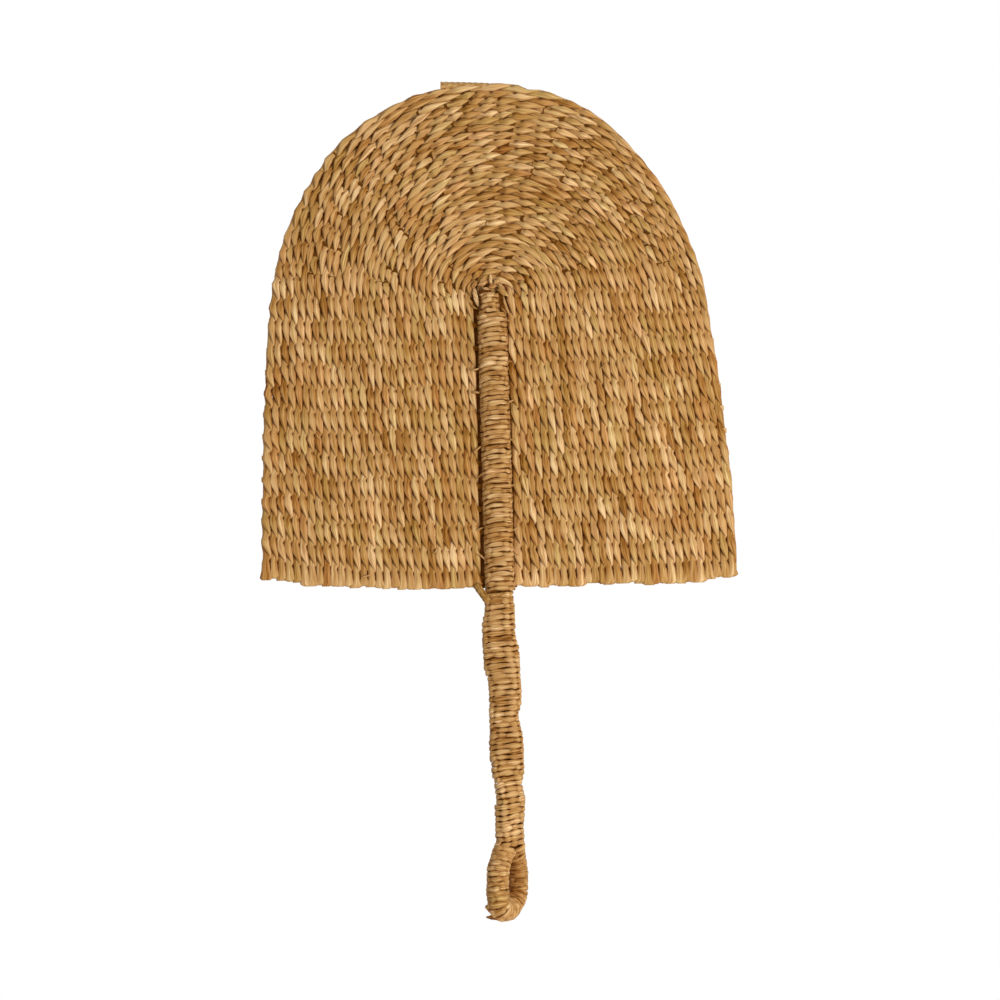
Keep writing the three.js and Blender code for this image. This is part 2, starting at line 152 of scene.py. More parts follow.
@dataclass(frozen=True)
class Field:
    """A value that runs through a node tree, with plain arithmetic.

    Attributes:
        sheet: The sheet that the value is on.
        socket: The output that gives it.
        is_vector: Whether it is a vector.
    """

    sheet: "Sheet"
    socket: bpy.types.NodeSocket
    is_vector: bool = False

    def __add__(self, other: "Operand") -> "Field":
        """Adds another value."""
        return self.sheet.combine("ADD", self, other)

    def __radd__(self, other: "Operand") -> "Field":
        """Adds to a plain number."""
        return self.sheet.combine("ADD", self, other)

    def __sub__(self, other: "Operand") -> "Field":
        """Takes another value away."""
        return self.sheet.combine("SUBTRACT", self, other)

    def __rsub__(self, other: "Operand") -> "Field":
        """Takes this value from a plain number."""
        return self.sheet.combine("SUBTRACT", other, self)

    def __mul__(self, other: "Operand") -> "Field":
        """Multiplies by another value, and scales a vector by a number."""
        return self.sheet.combine("MULTIPLY", self, other)

    def __rmul__(self, other: "Operand") -> "Field":
        """Multiplies a plain number."""
        return self.sheet.combine("MULTIPLY", self, other)

    def __truediv__(self, other: Number) -> "Field":
        """Divides by a plain number."""
        return self.sheet.math("DIVIDE", self, other)

    def __pow__(self, power: Number) -> "Field":
        """Raises a number to a power."""
        return self.sheet.math("POWER", self, power)


Operand = Union[Field, Number]


class Sheet:
    """Makes the nodes of one tree and links them."""

    def __init__(self, tree: bpy.types.NodeTree) -> None:
        """Starts on an empty tree.

        Args:
            tree: The node tree to fill.
        """
        self.tree = tree

    def node(self, kind: str, *values: object, **settings: object) -> bpy.types.Node:
        """Adds a node.

        Args:
            kind: Blender's name of the node.
            *values: What its first inputs take, in order.
            **settings: Values of its own properties.

        Returns:
            The node.
        """
        made = self.tree.nodes.new(kind)
        for name, value in settings.items():
            setattr(made, name, value)
        for socket, value in zip(made.inputs, values):
            self.feed(socket, value)
        return made

    def feed(self, socket: bpy.types.NodeSocket, value: object) -> None:
        """Links a value to an input, or writes a plain one on it.

        Args:
            socket: The input.
            value: The value.
        """
        if isinstance(value, Field):
            self.tree.links.new(value.socket, socket)
        elif isinstance(value, bpy.types.NodeSocket):
            self.tree.links.new(value, socket)
        else:
            socket.default_value = value

    def math(self, operation: str, *values: Operand) -> Field:
        """Adds a node of arithmetic on numbers.

        Args:
            operation: Blender's name of the operation.
            *values: Its inputs in order.

        Returns:
            The result.
        """
        return Field(self, self.node("ShaderNodeMath", *values, operation=operation).outputs[0])

    def vector(self, operation: str, *values: Field) -> Field:
        """Adds a node of arithmetic on vectors.

        Args:
            operation: Blender's name of the operation.
            *values: Its vector inputs in order.

        Returns:
            The result, a vector.
        """
        made = self.node("ShaderNodeVectorMath", *values, operation=operation)
        return Field(self, made.outputs[0], True)

    def scale(self, vector: Field, factor: Operand) -> Field:
        """Scales a vector.

        Args:
            vector: The vector.
            factor: The number to scale it by.

        Returns:
            The scaled vector.
        """
        made = self.node("ShaderNodeVectorMath", vector, operation="SCALE")
        self.feed(made.inputs["Scale"], factor)
        return Field(self, made.outputs[0], True)

    def combine(self, operation: str, left: Operand, right: Operand) -> Field:
        """Picks the node for two values by what they are.

        Args:
            operation: ADD, SUBTRACT or MULTIPLY.
            left: The first value.
            right: The second value.

        Returns:
            The result.
        """
        vectors = [value for value in (left, right) if isinstance(value, Field) and value.is_vector]
        if not vectors:
            return self.math(operation, left, right)
        if len(vectors) == 1:
            return self.scale(vectors[0], right if vectors[0] is left else left)
        return self.vector(operation, left, right)

    def blend(self, low: Operand, high: Operand, share: Field) -> Field:
        """Returns the value a share of the way from low to high."""
        return self.math("MULTIPLY_ADD", share, self.math("SUBTRACT", high, low), low)

    def ramp(self, value: Field, low: Operand, high: Operand) -> Field:
        """Returns how far a value has come from low to high, from 0 to 1."""
        share = self.math("DIVIDE", value - low, self.math("SUBTRACT", high, low))
        return self.math("MINIMUM", self.math("MAXIMUM", share, 0.0), 1.0)

    def join(self, x: Operand, y: Operand, z: Operand) -> Field:
        """Returns a vector of three numbers."""
        return Field(self, self.node("ShaderNodeCombineXYZ", x, y, z).outputs[0], True)

    def split(self, vector: Field) -> tuple[Field, Field, Field]:
        """Returns the three numbers of a vector."""
        x, y, z = (Field(self, part) for part in self.node("ShaderNodeSeparateXYZ", vector).outputs)
        return x, y, z

    def stretch(self, vector: Field, factors: Triple) -> Field:
        """Returns a vector with each of its numbers times its own factor."""
        return self.vector("MULTIPLY", vector, self.join(*factors))

    def signed_power(self, value: Field, power: Operand) -> Field:
        """Returns a number's size to a power, with the number's own sign."""
        return self.math("SIGN", value) * self.math("POWER", self.math("ABSOLUTE", value), power)

    def soft_step(self, value: Field, low: float, high: float) -> Field:
        """Returns 0 below low, 1 above high and a soft step between."""
        made = self.node("ShaderNodeMapRange", value, low, high, interpolation_type="SMOOTHSTEP")
        return Field(self, made.outputs[0])

    def tones(self, value: Field, stops: Tones) -> bpy.types.NodeSocket:
        """Gives the colour of a value on a run of colours.

        Args:
            value: The place on the run.
            stops: Pairs of a place and a colour.

        Returns:
            The output that gives the colour.
        """
        made = self.node("ShaderNodeValToRGB", value)
        elements = made.color_ramp.elements
        while len(elements) < len(stops):
            elements.new(1.0)
        for element, (place, colour) in zip(elements, stops):
            element.position = place
            element.color = linear(colour)
        return made.outputs[0]

    def multiply(self, left: bpy.types.NodeSocket, right: bpy.types.NodeSocket) -> bpy.types.NodeSocket:
        """Multiplies two colours.

        Args:
            left: The output that gives the first.
            right: The output that gives the second.

        Returns:
            The output that gives the product.
        """
        made = self.node("ShaderNodeMix", 1.0, data_type="RGBA", blend_type="MULTIPLY")
        self.feed(made.inputs[6], left)
        self.feed(made.inputs[7], right)
        return made.outputs[2]

    def ridges(self, shader: bpy.types.Node, relief: Field, strength: float, height: float) -> None:
        """Raises fine ridges on a shader's surface.

        Args:
            shader: The shader.
            relief: Where the surface is high.
            strength: How strong the ridges look.
            height: Their full height.
        """
        bump = self.node("ShaderNodeBump")
        bump.inputs["Strength"].default_value = strength
        bump.inputs["Distance"].default_value = height * MM
        self.feed(bump.inputs["Height"], relief)
        self.feed(shader.inputs["Normal"], bump.outputs[0])

    def noise(self, place: Field, scale: float, detail: float) -> Field:
        """Adds soft noise.

        Args:
            place: Where to read it.
            scale: How fine it is.
            detail: How many finer layers it has.

        Returns:
            The noise, about 0.5.
        """
        made = self.node("ShaderNodeTexNoise", place, noise_dimensions="3D")
        made.inputs["Scale"].default_value = scale
        made.inputs["Detail"].default_value = detail
        return Field(self, made.outputs["Fac"])


def start_finish(name: str) -> tuple[bpy.types.Material, Sheet, bpy.types.Node]:
    """Starts a material.

    Args:
        name: Its name.

    Returns:
        The material, its sheet and its shader.
    """
    made = bpy.data.materials.new(name)
    made.use_nodes = True
    return made, Sheet(made.node_tree), made.node_tree.nodes["Principled BSDF"]


def show(name: str, data: bpy.types.ID) -> bpy.types.Object:
    """Puts a new object in the scene, at the origin.

    Args:
        name: Its name.
        data: What it shows.

    Returns:
        The object.
    """
    made = bpy.data.objects.new(name, data)
    bpy.context.scene.collection.objects.link(made)
    return made


@dataclass(frozen=True)
class Straw:
    """Dry seagrass: a run of tones, streaks along the fibres, and painted shade in the folds and creases.

    Attributes:
        name: The material's name.
        tones: Pairs of a place on the run and a colour.
        streak: How far the streaks move the tone.
        fold: How dark the painted shade in the folds and creases is, 1 for no change.
        roughness: The surface's roughness.
        gloss: Strength of the surface's shine.
        ridge: Height of the fibres' ridges.
        vein: How dark the lines between the fibres are.
        shade_and_vein_tone: The colour of the painted shade in folds and creases, which also darkens the
            lines between the fibres.
    """

    name: str
    tones: Tones
    streak: float = 0.8
    fold: float = 0.25
    roughness: float = 0.62
    gloss: float = 0.14
    ridge: float = 0.35
    vein: float = 0.5
    shade_and_vein_tone: Colour = (182, 114, 24)
    # How fine, drawn out and strong the streaks and the lines between the fibres are.
    broad_scale: float = 1.3
    broad_share: float = 1.5
    fine_scale: float = 2.2
    fine_stretch: Triple = (2.6, 1.4, 1.0)
    fine_share: float = 0.8
    vein_scale: float = 1.1
    vein_stretch: Triple = (1.0, 0.4, 1.0)
    vein_sharpness: float = 9.0
    vein_depth: float = 0.6
    sheen_spread: float = 0.3
    ridge_height: float = 0.4

    def material(self) -> bpy.types.Material:
        """Builds the material from the strands' own attributes.

        Returns:
            The material.
        """
        made, sheet, shader = start_finish(self.name)
        tone = self.attribute(sheet, "tone")
        hue = self.attribute(sheet, "hue")
        tuck = self.attribute(sheet, "tuck")
        fibre = self.attribute(sheet, "fibre", True)
        broad = sheet.noise(fibre, self.broad_scale, 1.0)
        fine = sheet.noise(sheet.stretch(fibre, self.fine_stretch), self.fine_scale, 2.0)
        grain = (broad - 0.5) * self.broad_share + (fine - 0.5) * self.fine_share
        course = sheet.noise(sheet.stretch(fibre, self.vein_stretch), self.vein_scale, 0.0)
        line = sheet.math("MAXIMUM", 1 - sheet.math("ABSOLUTE", course - 0.5) * self.vein_sharpness, 0.0)
        dry = sheet.tones(tone + grain * self.streak, self.tones)
        tinted = sheet.multiply(dry, sheet.tones(hue, TINTS))
        # Painted shade from the strands' folds, creases and tucked-away parts, together with the real dark
        # lines between the fibres.
        shade_and_veins = sheet.math("MAXIMUM", tuck * (1 - self.fold), line * self.vein)
        folds = sheet.tones(shade_and_veins, ((0.0, WHITE), (1.0, self.shade_and_vein_tone)))
        sheet.feed(shader.inputs["Base Color"], sheet.multiply(tinted, folds))
        sheet.feed(shader.inputs["Roughness"], self.roughness + (fine - 0.5) * self.sheen_spread)
        shader.inputs["Specular IOR Level"].default_value = self.gloss
        sheet.ridges(shader, grain - line * self.vein_depth, self.ridge, self.ridge_height)
        return made

    @staticmethod
    def attribute(sheet: Sheet, name: str, is_vector: bool = False) -> Field:
        """Returns a value that the mesh carries."""
        made = sheet.node("ShaderNodeAttribute", attribute_name=name)
        return Field(sheet, made.outputs["Vector" if is_vector else "Fac"], is_vector)


@dataclass(frozen=True)
class Reed:
    """Bare stalks: two tones in blotches drawn out along the stalk.

    Attributes:
        name: The material's name.
        dark: The darker tone, between the strands.
        pale: The paler tone there.
        tip: The tone of the ends at the rim.
        tip_start: How far from the axis the ends begin, in metres.
        tip_full: How far from the axis they have their whole tone, in metres.
        roughness: The surface's roughness.
        gloss: Strength of the surface's shine.
        ridge: Strength of the fibres' ridges.
    """

    name: str
    # The stalks' tones are darker than the straw's own, partly painted shade for where they show in the
    # gaps.
    dark: Colour = (92, 50, 8)
    pale: Colour = (136, 84, 22)
    tip: Colour = (206, 166, 112)
    tip_start: float = 0.123
    tip_full: float = 0.13
    roughness: float = 0.7
    gloss: float = 0.02
    ridge: float = 0.3
    # How fine and strong the blotches and fibres are, and where the run of tones begins and ends.
    ridge_height: float = 0.2
    blotch_scale: float = 180.0
    blotch_share: float = 0.6
    fibre_scale: float = 2200.0
    fibre_stretch: Triple = (0.15, 1.0, 1.0)
    fibre_share: float = 0.4
    tone_span: Span = (0.3, 0.7)

    def material(self) -> bpy.types.Material:
        """Builds the material from places on the object.

        Returns:
            The material.
        """
        made, sheet, shader = start_finish(self.name)
        coordinates = sheet.node("ShaderNodeTexCoord")
        place = Field(sheet, coordinates.outputs["Object"], True)
        blotch = sheet.noise(place, self.blotch_scale, 2.0)
        fibre = sheet.noise(sheet.stretch(place, self.fibre_stretch), self.fibre_scale, 1.0)
        shade = blotch * self.blotch_share + fibre * self.fibre_share
        start, end = self.tone_span
        out, _, _ = sheet.split(place)
        ended = sheet.soft_step(sheet.math("ABSOLUTE", out), self.tip_start, self.tip_full)
        blend = sheet.node("ShaderNodeMix", ended, data_type="RGBA")
        sheet.feed(blend.inputs[6], sheet.tones(shade, ((start, self.dark), (end, self.pale))))
        blend.inputs[7].default_value = linear(self.tip)
        sheet.feed(shader.inputs["Base Color"], blend.outputs[2])
        shader.inputs["Roughness"].default_value = self.roughness
        shader.inputs["Specular IOR Level"].default_value = self.gloss
        sheet.ridges(shader, fibre, self.ridge, self.ridge_height)
        return made


# Small shifts of hue from strand to strand: reddish, plain, and greenish where the grass dried green.
TINTS: Tones = (
    (0.0, (255, 242, 230)),
    (0.22, (255, 252, 248)),
    (0.6, (255, 255, 255)),
    (0.82, (252, 253, 246)),
    (1.0, (246, 251, 234)),
)

WEFT_TONES: Tones = (
    (0.0, (124, 74, 8)),
    (0.22, (166, 117, 50)),
    (0.48, (190, 148, 87)),
    (0.75, (208, 170, 113)),
    (1.0, (236, 204, 152)),
)
WRAP_TONES: Tones = (
    (0.0, (112, 66, 8)),
    (0.25, (164, 116, 52)),
    (0.5, (190, 149, 90)),
    (0.78, (210, 172, 116)),
    (1.0, (238, 206, 156)),
)
# Dark tones, painted shade: the bundle and the strands behind it are seen only in shaded crevices and gaps.
SHADED_CORE_TONES: Tones = (
    (0.0, (82, 43, 6)),
    (0.5, (114, 68, 15)),
    (1.0, (146, 96, 36)),
)


@dataclass
class Line:
    """Points that a strand follows, with values at each point.

    Attributes:
        points: Places in millimetres.
        numbers: Lists of numbers by name, one for each point.
        vectors: Lists of vectors by name, one for each point.
    """

    points: list[Vector] = field(default_factory=list)
    numbers: dict[str, list[float]] = field(default_factory=dict)
    vectors: dict[str, list[Vector]] = field(default_factory=dict)

    def add(self, point: Vector, **values: Union[float, Vector]) -> None:
        """Adds a point with its values.

        Args:
            point: The place.
            **values: Its numbers and vectors by name.
        """
        self.points.append(point)
        for name, value in values.items():
            store = self.vectors if isinstance(value, Vector) else self.numbers
            store.setdefault(name, []).append(value)


def line_mesh(name: str, lines: Sequence[Line]) -> bpy.types.Mesh:
    """Makes one mesh of edges from lines that carry the same values.

    Args:
        name: The mesh's name.
        lines: The lines.

    Returns:
        The mesh, in metres, with the values as attributes of its points.
    """
    points = [point * MM for line in lines for point in line.points]
    edges: list[tuple[int, int]] = []
    start = 0
    for line in lines:
        edges.extend((start + i, start + i + 1) for i in range(len(line.points) - 1))
        start += len(line.points)
    mesh = bpy.data.meshes.new(name)
    mesh.from_pydata(points, edges, [])
    for key in lines[0].numbers:
        values = [value for line in lines for value in line.numbers[key]]
        mesh.attributes.new(key, "FLOAT", "POINT").data.foreach_set("value", values)
    for key in lines[0].vectors:
        flat = [part for line in lines for vector in line.vectors[key] for part in vector]
        mesh.attributes.new(key, "FLOAT_VECTOR", "POINT").data.foreach_set("vector", flat)
    return mesh


class StrandTree:
    """A tree of geometry nodes that grows strands along a mesh of edges."""

    name: str = "strand"
    sizes: dict[str, float] = {}
    bluntness: float = 0.65
    thread_spread: float = 40.0

    def __init__(self) -> None:
        """Builds the tree with its named inputs."""
        self.group = bpy.data.node_groups.new(self.name, "GeometryNodeTree")
        self.sheet = Sheet(self.group)
        sockets = self.group.interface
        sockets.new_socket("Geometry", in_out="INPUT", socket_type="NodeSocketGeometry")
        for label, size in self.sizes.items():
            socket = sockets.new_socket(label, in_out="INPUT", socket_type="NodeSocketFloat")
            socket.default_value = size
        for label, kind in (("Sides", "Int"), ("Seed", "Int"), ("Material", "Material")):
            sockets.new_socket(label, in_out="INPUT", socket_type=f"NodeSocket{kind}")
        sockets.new_socket("Geometry", in_out="OUTPUT", socket_type="NodeSocketGeometry")
        self.given = self.sheet.node("NodeGroupInput")
        self.result = self.sheet.node("NodeGroupOutput")
        self.skin()

    def size(self, label: str) -> Field:
        """Returns a named input of the tree."""
        return Field(self.sheet, self.given.outputs[label])

    def named(self, label: str, is_vector: bool = False) -> Field:
        """Reads a value that the line's points carry.

        Args:
            label: The value's name.
            is_vector: Whether it is a vector.

        Returns:
            The value.
        """
        kind = "FLOAT_VECTOR" if is_vector else "FLOAT"
        made = self.sheet.node("GeometryNodeInputNamedAttribute", data_type=kind)
        made.inputs["Name"].default_value = label
        return Field(self.sheet, made.outputs[0], is_vector)

    def chance(self, number: Field, shift: int) -> Field:
        """Draws a random number that is the same on every run.

        Args:
            number: The whole number that it is drawn for.
            shift: Which of the separate draws it is.

        Returns:
            The random number, from 0 to 1.
        """
        made = self.sheet.node("FunctionNodeRandomValue", data_type="FLOAT")
        self.sheet.feed(made.inputs["ID"], number)
        seed = self.sheet.math("ADD", self.size("Seed"), shift)
        self.sheet.feed(made.inputs["Seed"], seed)
        return Field(self.sheet, made.outputs[1])

    def lobes(self, across: Field, out: Field, along: Field) -> tuple[Field, Field]:
        """Gives the two plies that a strand is twisted from.

        Args:
            across: The place across the round section.
            out: The place out of it.
            along: The place along the strand.

        Returns:
            The section's size there, 1 on top of a ply, and how deep in the fold it lies, from 0 to 1.
        """
        section = self.sheet.math("ARCTAN2", out, across)
        ply = self.sheet.math("COSINE", (section - along * self.size("Ply twist")) * 2)
        fold = 0.5 - ply * 0.5
        return 1 - self.size("Ply depth") * fold, fold

    def store(self, geometry: object, label: str, value: Field) -> bpy.types.NodeSocket:
        """Writes a value on the geometry's points.

        Args:
            geometry: The output that gives the geometry.
            label: The value's name.
            value: The value.

        Returns:
            The output with the value on it.
        """
        kind = "FLOAT_VECTOR" if value.is_vector else "FLOAT"
        made = self.sheet.node("GeometryNodeStoreNamedAttribute", geometry, data_type=kind, domain="POINT")
        made.inputs["Name"].default_value = label
        self.sheet.feed(made.inputs["Value"], value)
        return made.outputs[0]

    def shape(self, ring: Field) -> dict[str, Field]:
        """Gives the skin's place and its values, for one round section at every point of the line.

        Args:
            ring: The place on the round section, x across the strand and y out of it.

        Returns:
            The values by name: place, tone, hue, tuck and fibre.
        """
        raise NotImplementedError

    def skin(self) -> None:
        """Makes the tube, moves its points into place, and writes the values that the finish reads."""
        sheet = self.sheet
        position = sheet.node("GeometryNodeInputPosition")
        here = Field(sheet, position.outputs[0], True)
        line = self.store(self.given.outputs["Geometry"], "centre", here)
        curve = sheet.node("GeometryNodeMeshToCurve", line)
        circle = sheet.node("GeometryNodeCurvePrimitiveCircle")
        sheet.feed(circle.inputs["Resolution"], self.size("Sides"))
        circle.inputs["Radius"].default_value = 1.0
        profile = self.store(circle.outputs[0], "ring", here)
        tube = sheet.node("GeometryNodeCurveToMesh", curve.outputs[0], profile)
        tube.inputs["Fill Caps"].default_value = True
        values = self.shape(self.named("ring", True))
        geometry = tube.outputs[0]
        for label in ("tone", "hue", "tuck", "fibre"):
            geometry = self.store(geometry, label, values[label])
        move = sheet.node("GeometryNodeSetPosition", geometry)
        sheet.feed(move.inputs["Position"], values["place"])
        soft = sheet.node("GeometryNodeSetShadeSmooth", move.outputs[0])
        real = sheet.node("GeometryNodeRealizeInstances", soft.outputs[0])
        paint = sheet.node("GeometryNodeSetMaterial", real.outputs[0])
        sheet.feed(paint.inputs["Material"], self.given.outputs["Material"])
        sheet.feed(self.result.inputs[0], paint.outputs[0])

    def grow(
        self,
        name: str,
        lines: Sequence[Line],
        material: bpy.types.Material,
        seed: int,
        sides: int = 8,
        **sizes: float,
    ) -> bpy.types.Object:
        """Grows strands along lines and keeps the result as a plain mesh.

        Args:
            name: The piece's name.
            lines: The lines to follow.
            material: The strands' finish.
            seed: What the random values start from.
            sides: Sides of the strands' section.
            **sizes: Sizes that differ from the tree's own, by name with _ for spaces.

        Returns:
            The piece, at the origin.
        """
        piece = show(name, line_mesh(name, lines))
        modifier = piece.modifiers.new("strands", "NODES")
        modifier.node_group = self.group
        chosen: dict[str, object] = {"Seed": seed, "Sides": sides, "Material": material}
        chosen.update({label.replace("_", " "): size for label, size in sizes.items()})
        for item in self.group.interface.items_tree:
            if item.in_out == "INPUT" and item.name in chosen:
                modifier[item.identifier] = chosen[item.name]
        graph = bpy.context.evaluated_depsgraph_get()
        mesh = bpy.data.meshes.new_from_object(piece.evaluated_get(graph), depsgraph=graph)
        piece.modifiers.clear()
        piece.data = mesh
        if inside_out(mesh):
            mesh.flip_normals()
        return piece


def inside_out(mesh: bpy.types.Mesh) -> bool:
    """Tests a closed mesh.

    Args:
        mesh: The mesh.

    Returns:
        Whether its faces point inwards.
    """
    mesh.calc_loop_triangles()
    total = 0.0
    for triangle in mesh.loop_triangles:
        a, b, c = (mesh.vertices[i].co for i in triangle.vertices)
        total += a.dot(b.cross(c))
    return total < 0


class TwinedTree(StrandTree):
    """Two strands that cross between the stakes and pass before and behind them by turns."""

    name = "twined_strands"
    sizes = {
        "Leaf width": 0.6,
        "Waist width": 0.43,
        "Tip width": 0.15,
        "Back width": 0.68,
        "Taper start": -0.1,
        "Tip place": 1.26,
        "Leaf thickness": 0.95 * MM,
        "Crossing thickness": 1.4 * MM,
        "Depth": 2.1 * MM,
        "Overlap": 0.62 * MM,
        "Top ease": 0.25,
        "Width spread": 0.1,
        "Foot flare": 0.5,
        "Foot rounding": 0.6,
    }
    taper_power: float = 1.3
    hiding: float = 0.4
    waist_low: float = 0.48
    waist_end: float = 0.78
    waist_return: float = 0.9
    swing_power: float = 1.4
    foot_narrowing: float = 0.32
    hidden_edge: float = 1.04
    lean_pace: float = 2.0
    fibre_across: float = 1.7
    fibre_out: float = 0.5
    fibre_slant: float = 0.02
    fibre_along: float = 0.05
    slow_wave: float = 0.02
    slow_spread: float = 0.75
    phase_step: float = 9.0
    seed_step: float = 3.7
    tone_middle: float = 0.53
    tone_spread: float = 0.46
    # Painted light: leaves lighter towards their tips and darker at their tops, and painted shade where a
    # leaf goes behind the next one and along its edges.
    tip_light_top_shade: float = 0.06
    hidden_tuck: float = 0.75
    edge_tuck: float = 0.9

    def outline(self, course: Field, width: Field) -> tuple[Field, Field]:
        """Gives a leaf's outline, wide at its top and pointed at its tip.

        Args:
            course: The place along the leaf, 0 at its middle, 1 near its tip and 2 at its back.
            width: Half the leaf's width at its middle.

        Returns:
            Half its width there, and how far it has gone behind the next leaf, from 0 to 1.
        """
        sheet = self.sheet
        tip = self.size("Tip width")
        end = self.size("Tip place")
        waist = self.size("Waist width")
        back = self.size("Back width")
        tapered = sheet.ramp(course, self.size("Taper start"), end) ** self.taper_power
        hidden = sheet.ramp(course, end, end + self.hiding)
        upward = course * -1
        widened = sheet.ramp(upward, self.waist_low, self.waist_end) * self.waist_return
        waisted = sheet.ramp(upward, 0.0, self.waist_low) - widened
        half = width - tapered * (width - tip) - waisted * (width - waist)
        return half + hidden * (back - tip), hidden

    def shape(self, ring: Field) -> dict[str, Field]:
        """Gives the skin of the twined strands.

        Args:
            ring: The place on the round section.

        Returns:
            The values by name.
        """
        sheet = self.sheet
        cell = self.named("cell")
        phase = self.named("phase")
        hook = self.named("hook")
        room = self.named("room")
        foot = self.named("foot")
        tip = self.named("tip")
        outward = self.named("outward", True)
        centre = self.named("centre", True)
        turn = (cell + phase) * math.pi
        number = sheet.math("FLOOR", turn / (2 * math.pi) + 0.5) * 2 + phase
        swing = sheet.math("COSINE", turn)
        rise = sheet.math("SINE", turn)
        toward = rise * tip
        bend = sheet.math("SQRT", 1 - hook * hook)
        faced = sheet.math("ABSOLUTE", swing)
        depth = sheet.signed_power(swing, self.swing_power) * self.size("Depth")
        depth = (depth + toward * self.size("Overlap")) * bend
        course = sheet.math("FLOORED_MODULO", turn / (math.pi / 2) + 2, 4.0) - 2
        spread = 1 + (self.chance(number, 1) - 0.5) * 2 * self.size("Width spread")
        flare = sheet.math("MAXIMUM", foot, foot * self.foot_narrowing) * self.size("Foot flare")
        flare = flare * (0.5 + self.chance(number, 6)) * sheet.math("GREATER_THAN", swing, 0.0)
        wide = self.size("Leaf width") * spread * (1 + flare)
        down, down_hidden = self.outline(course, wide)
        up, up_hidden = self.outline(course * -1, wide)
        falls = tip * 0.5 + 0.5
        share = sheet.blend(up, down, falls)
        level = 1 - tip * tip
        share = sheet.blend(share, sheet.math("MAXIMUM", up, down), level)
        hidden = sheet.blend(up_hidden, down_hidden, falls)
        half = room * share
        closing = 1 - sheet.math("SQRT", 1 - hook * hook * self.size("Foot rounding"))
        width = half * (1 - closing)
        thick = sheet.blend(self.size("Crossing thickness"), self.size("Leaf thickness"), faced)
        aside = sheet.math("MINIMUM", sheet.math("MAXIMUM", rise * self.lean_pace, -1.0), 1.0)
        edge = sheet.blend(wide, self.size("Leaf width") * self.hidden_edge, hidden)
        eased = 1 - self.size("Top ease") * sheet.math("LESS_THAN", toward, 0.0)
        lean = room * (edge - share) * aside * eased + half * closing * self.named("partner")
        across, out, _ = sheet.split(ring)
        blunt = sheet.signed_power(out, self.bluntness)
        back = sheet.join(0.0, 1.0, 0.0)
        place = centre + outward * (lean + across * width) + back * (blunt * thick - depth)
        along = self.named("along")
        thread = self.chance(number, 3) * self.thread_spread
        aslant = across * self.fibre_across + out * self.fibre_out + along * self.fibre_slant
        seed = self.size("Seed") * self.seed_step
        slow = sheet.noise(sheet.join(along * self.slow_wave, phase * self.phase_step, seed), 1.0, 1.0)
        own = (self.chance(number, 4) - 0.5) * self.tone_spread
        # Painted shade where the leaf has gone behind the next one and along its edges; the tone below is
        # also lighter at the tips and darker at the tops.
        tucked = hidden * sheet.math("LESS_THAN", out, 0.0) * self.hidden_tuck
        crease_shade = sheet.math("ABSOLUTE", across) ** 3 * self.edge_tuck
        return {
            "place": place,
            "tone": self.tone_middle + own + (slow - 0.5) * self.slow_spread + toward * self.tip_light_top_shade,
            "hue": self.chance(number, 5),
            "tuck": sheet.math("MAXIMUM", tucked, crease_shade),
            "fibre": sheet.join(aslant, along * self.fibre_along, thread),
        }


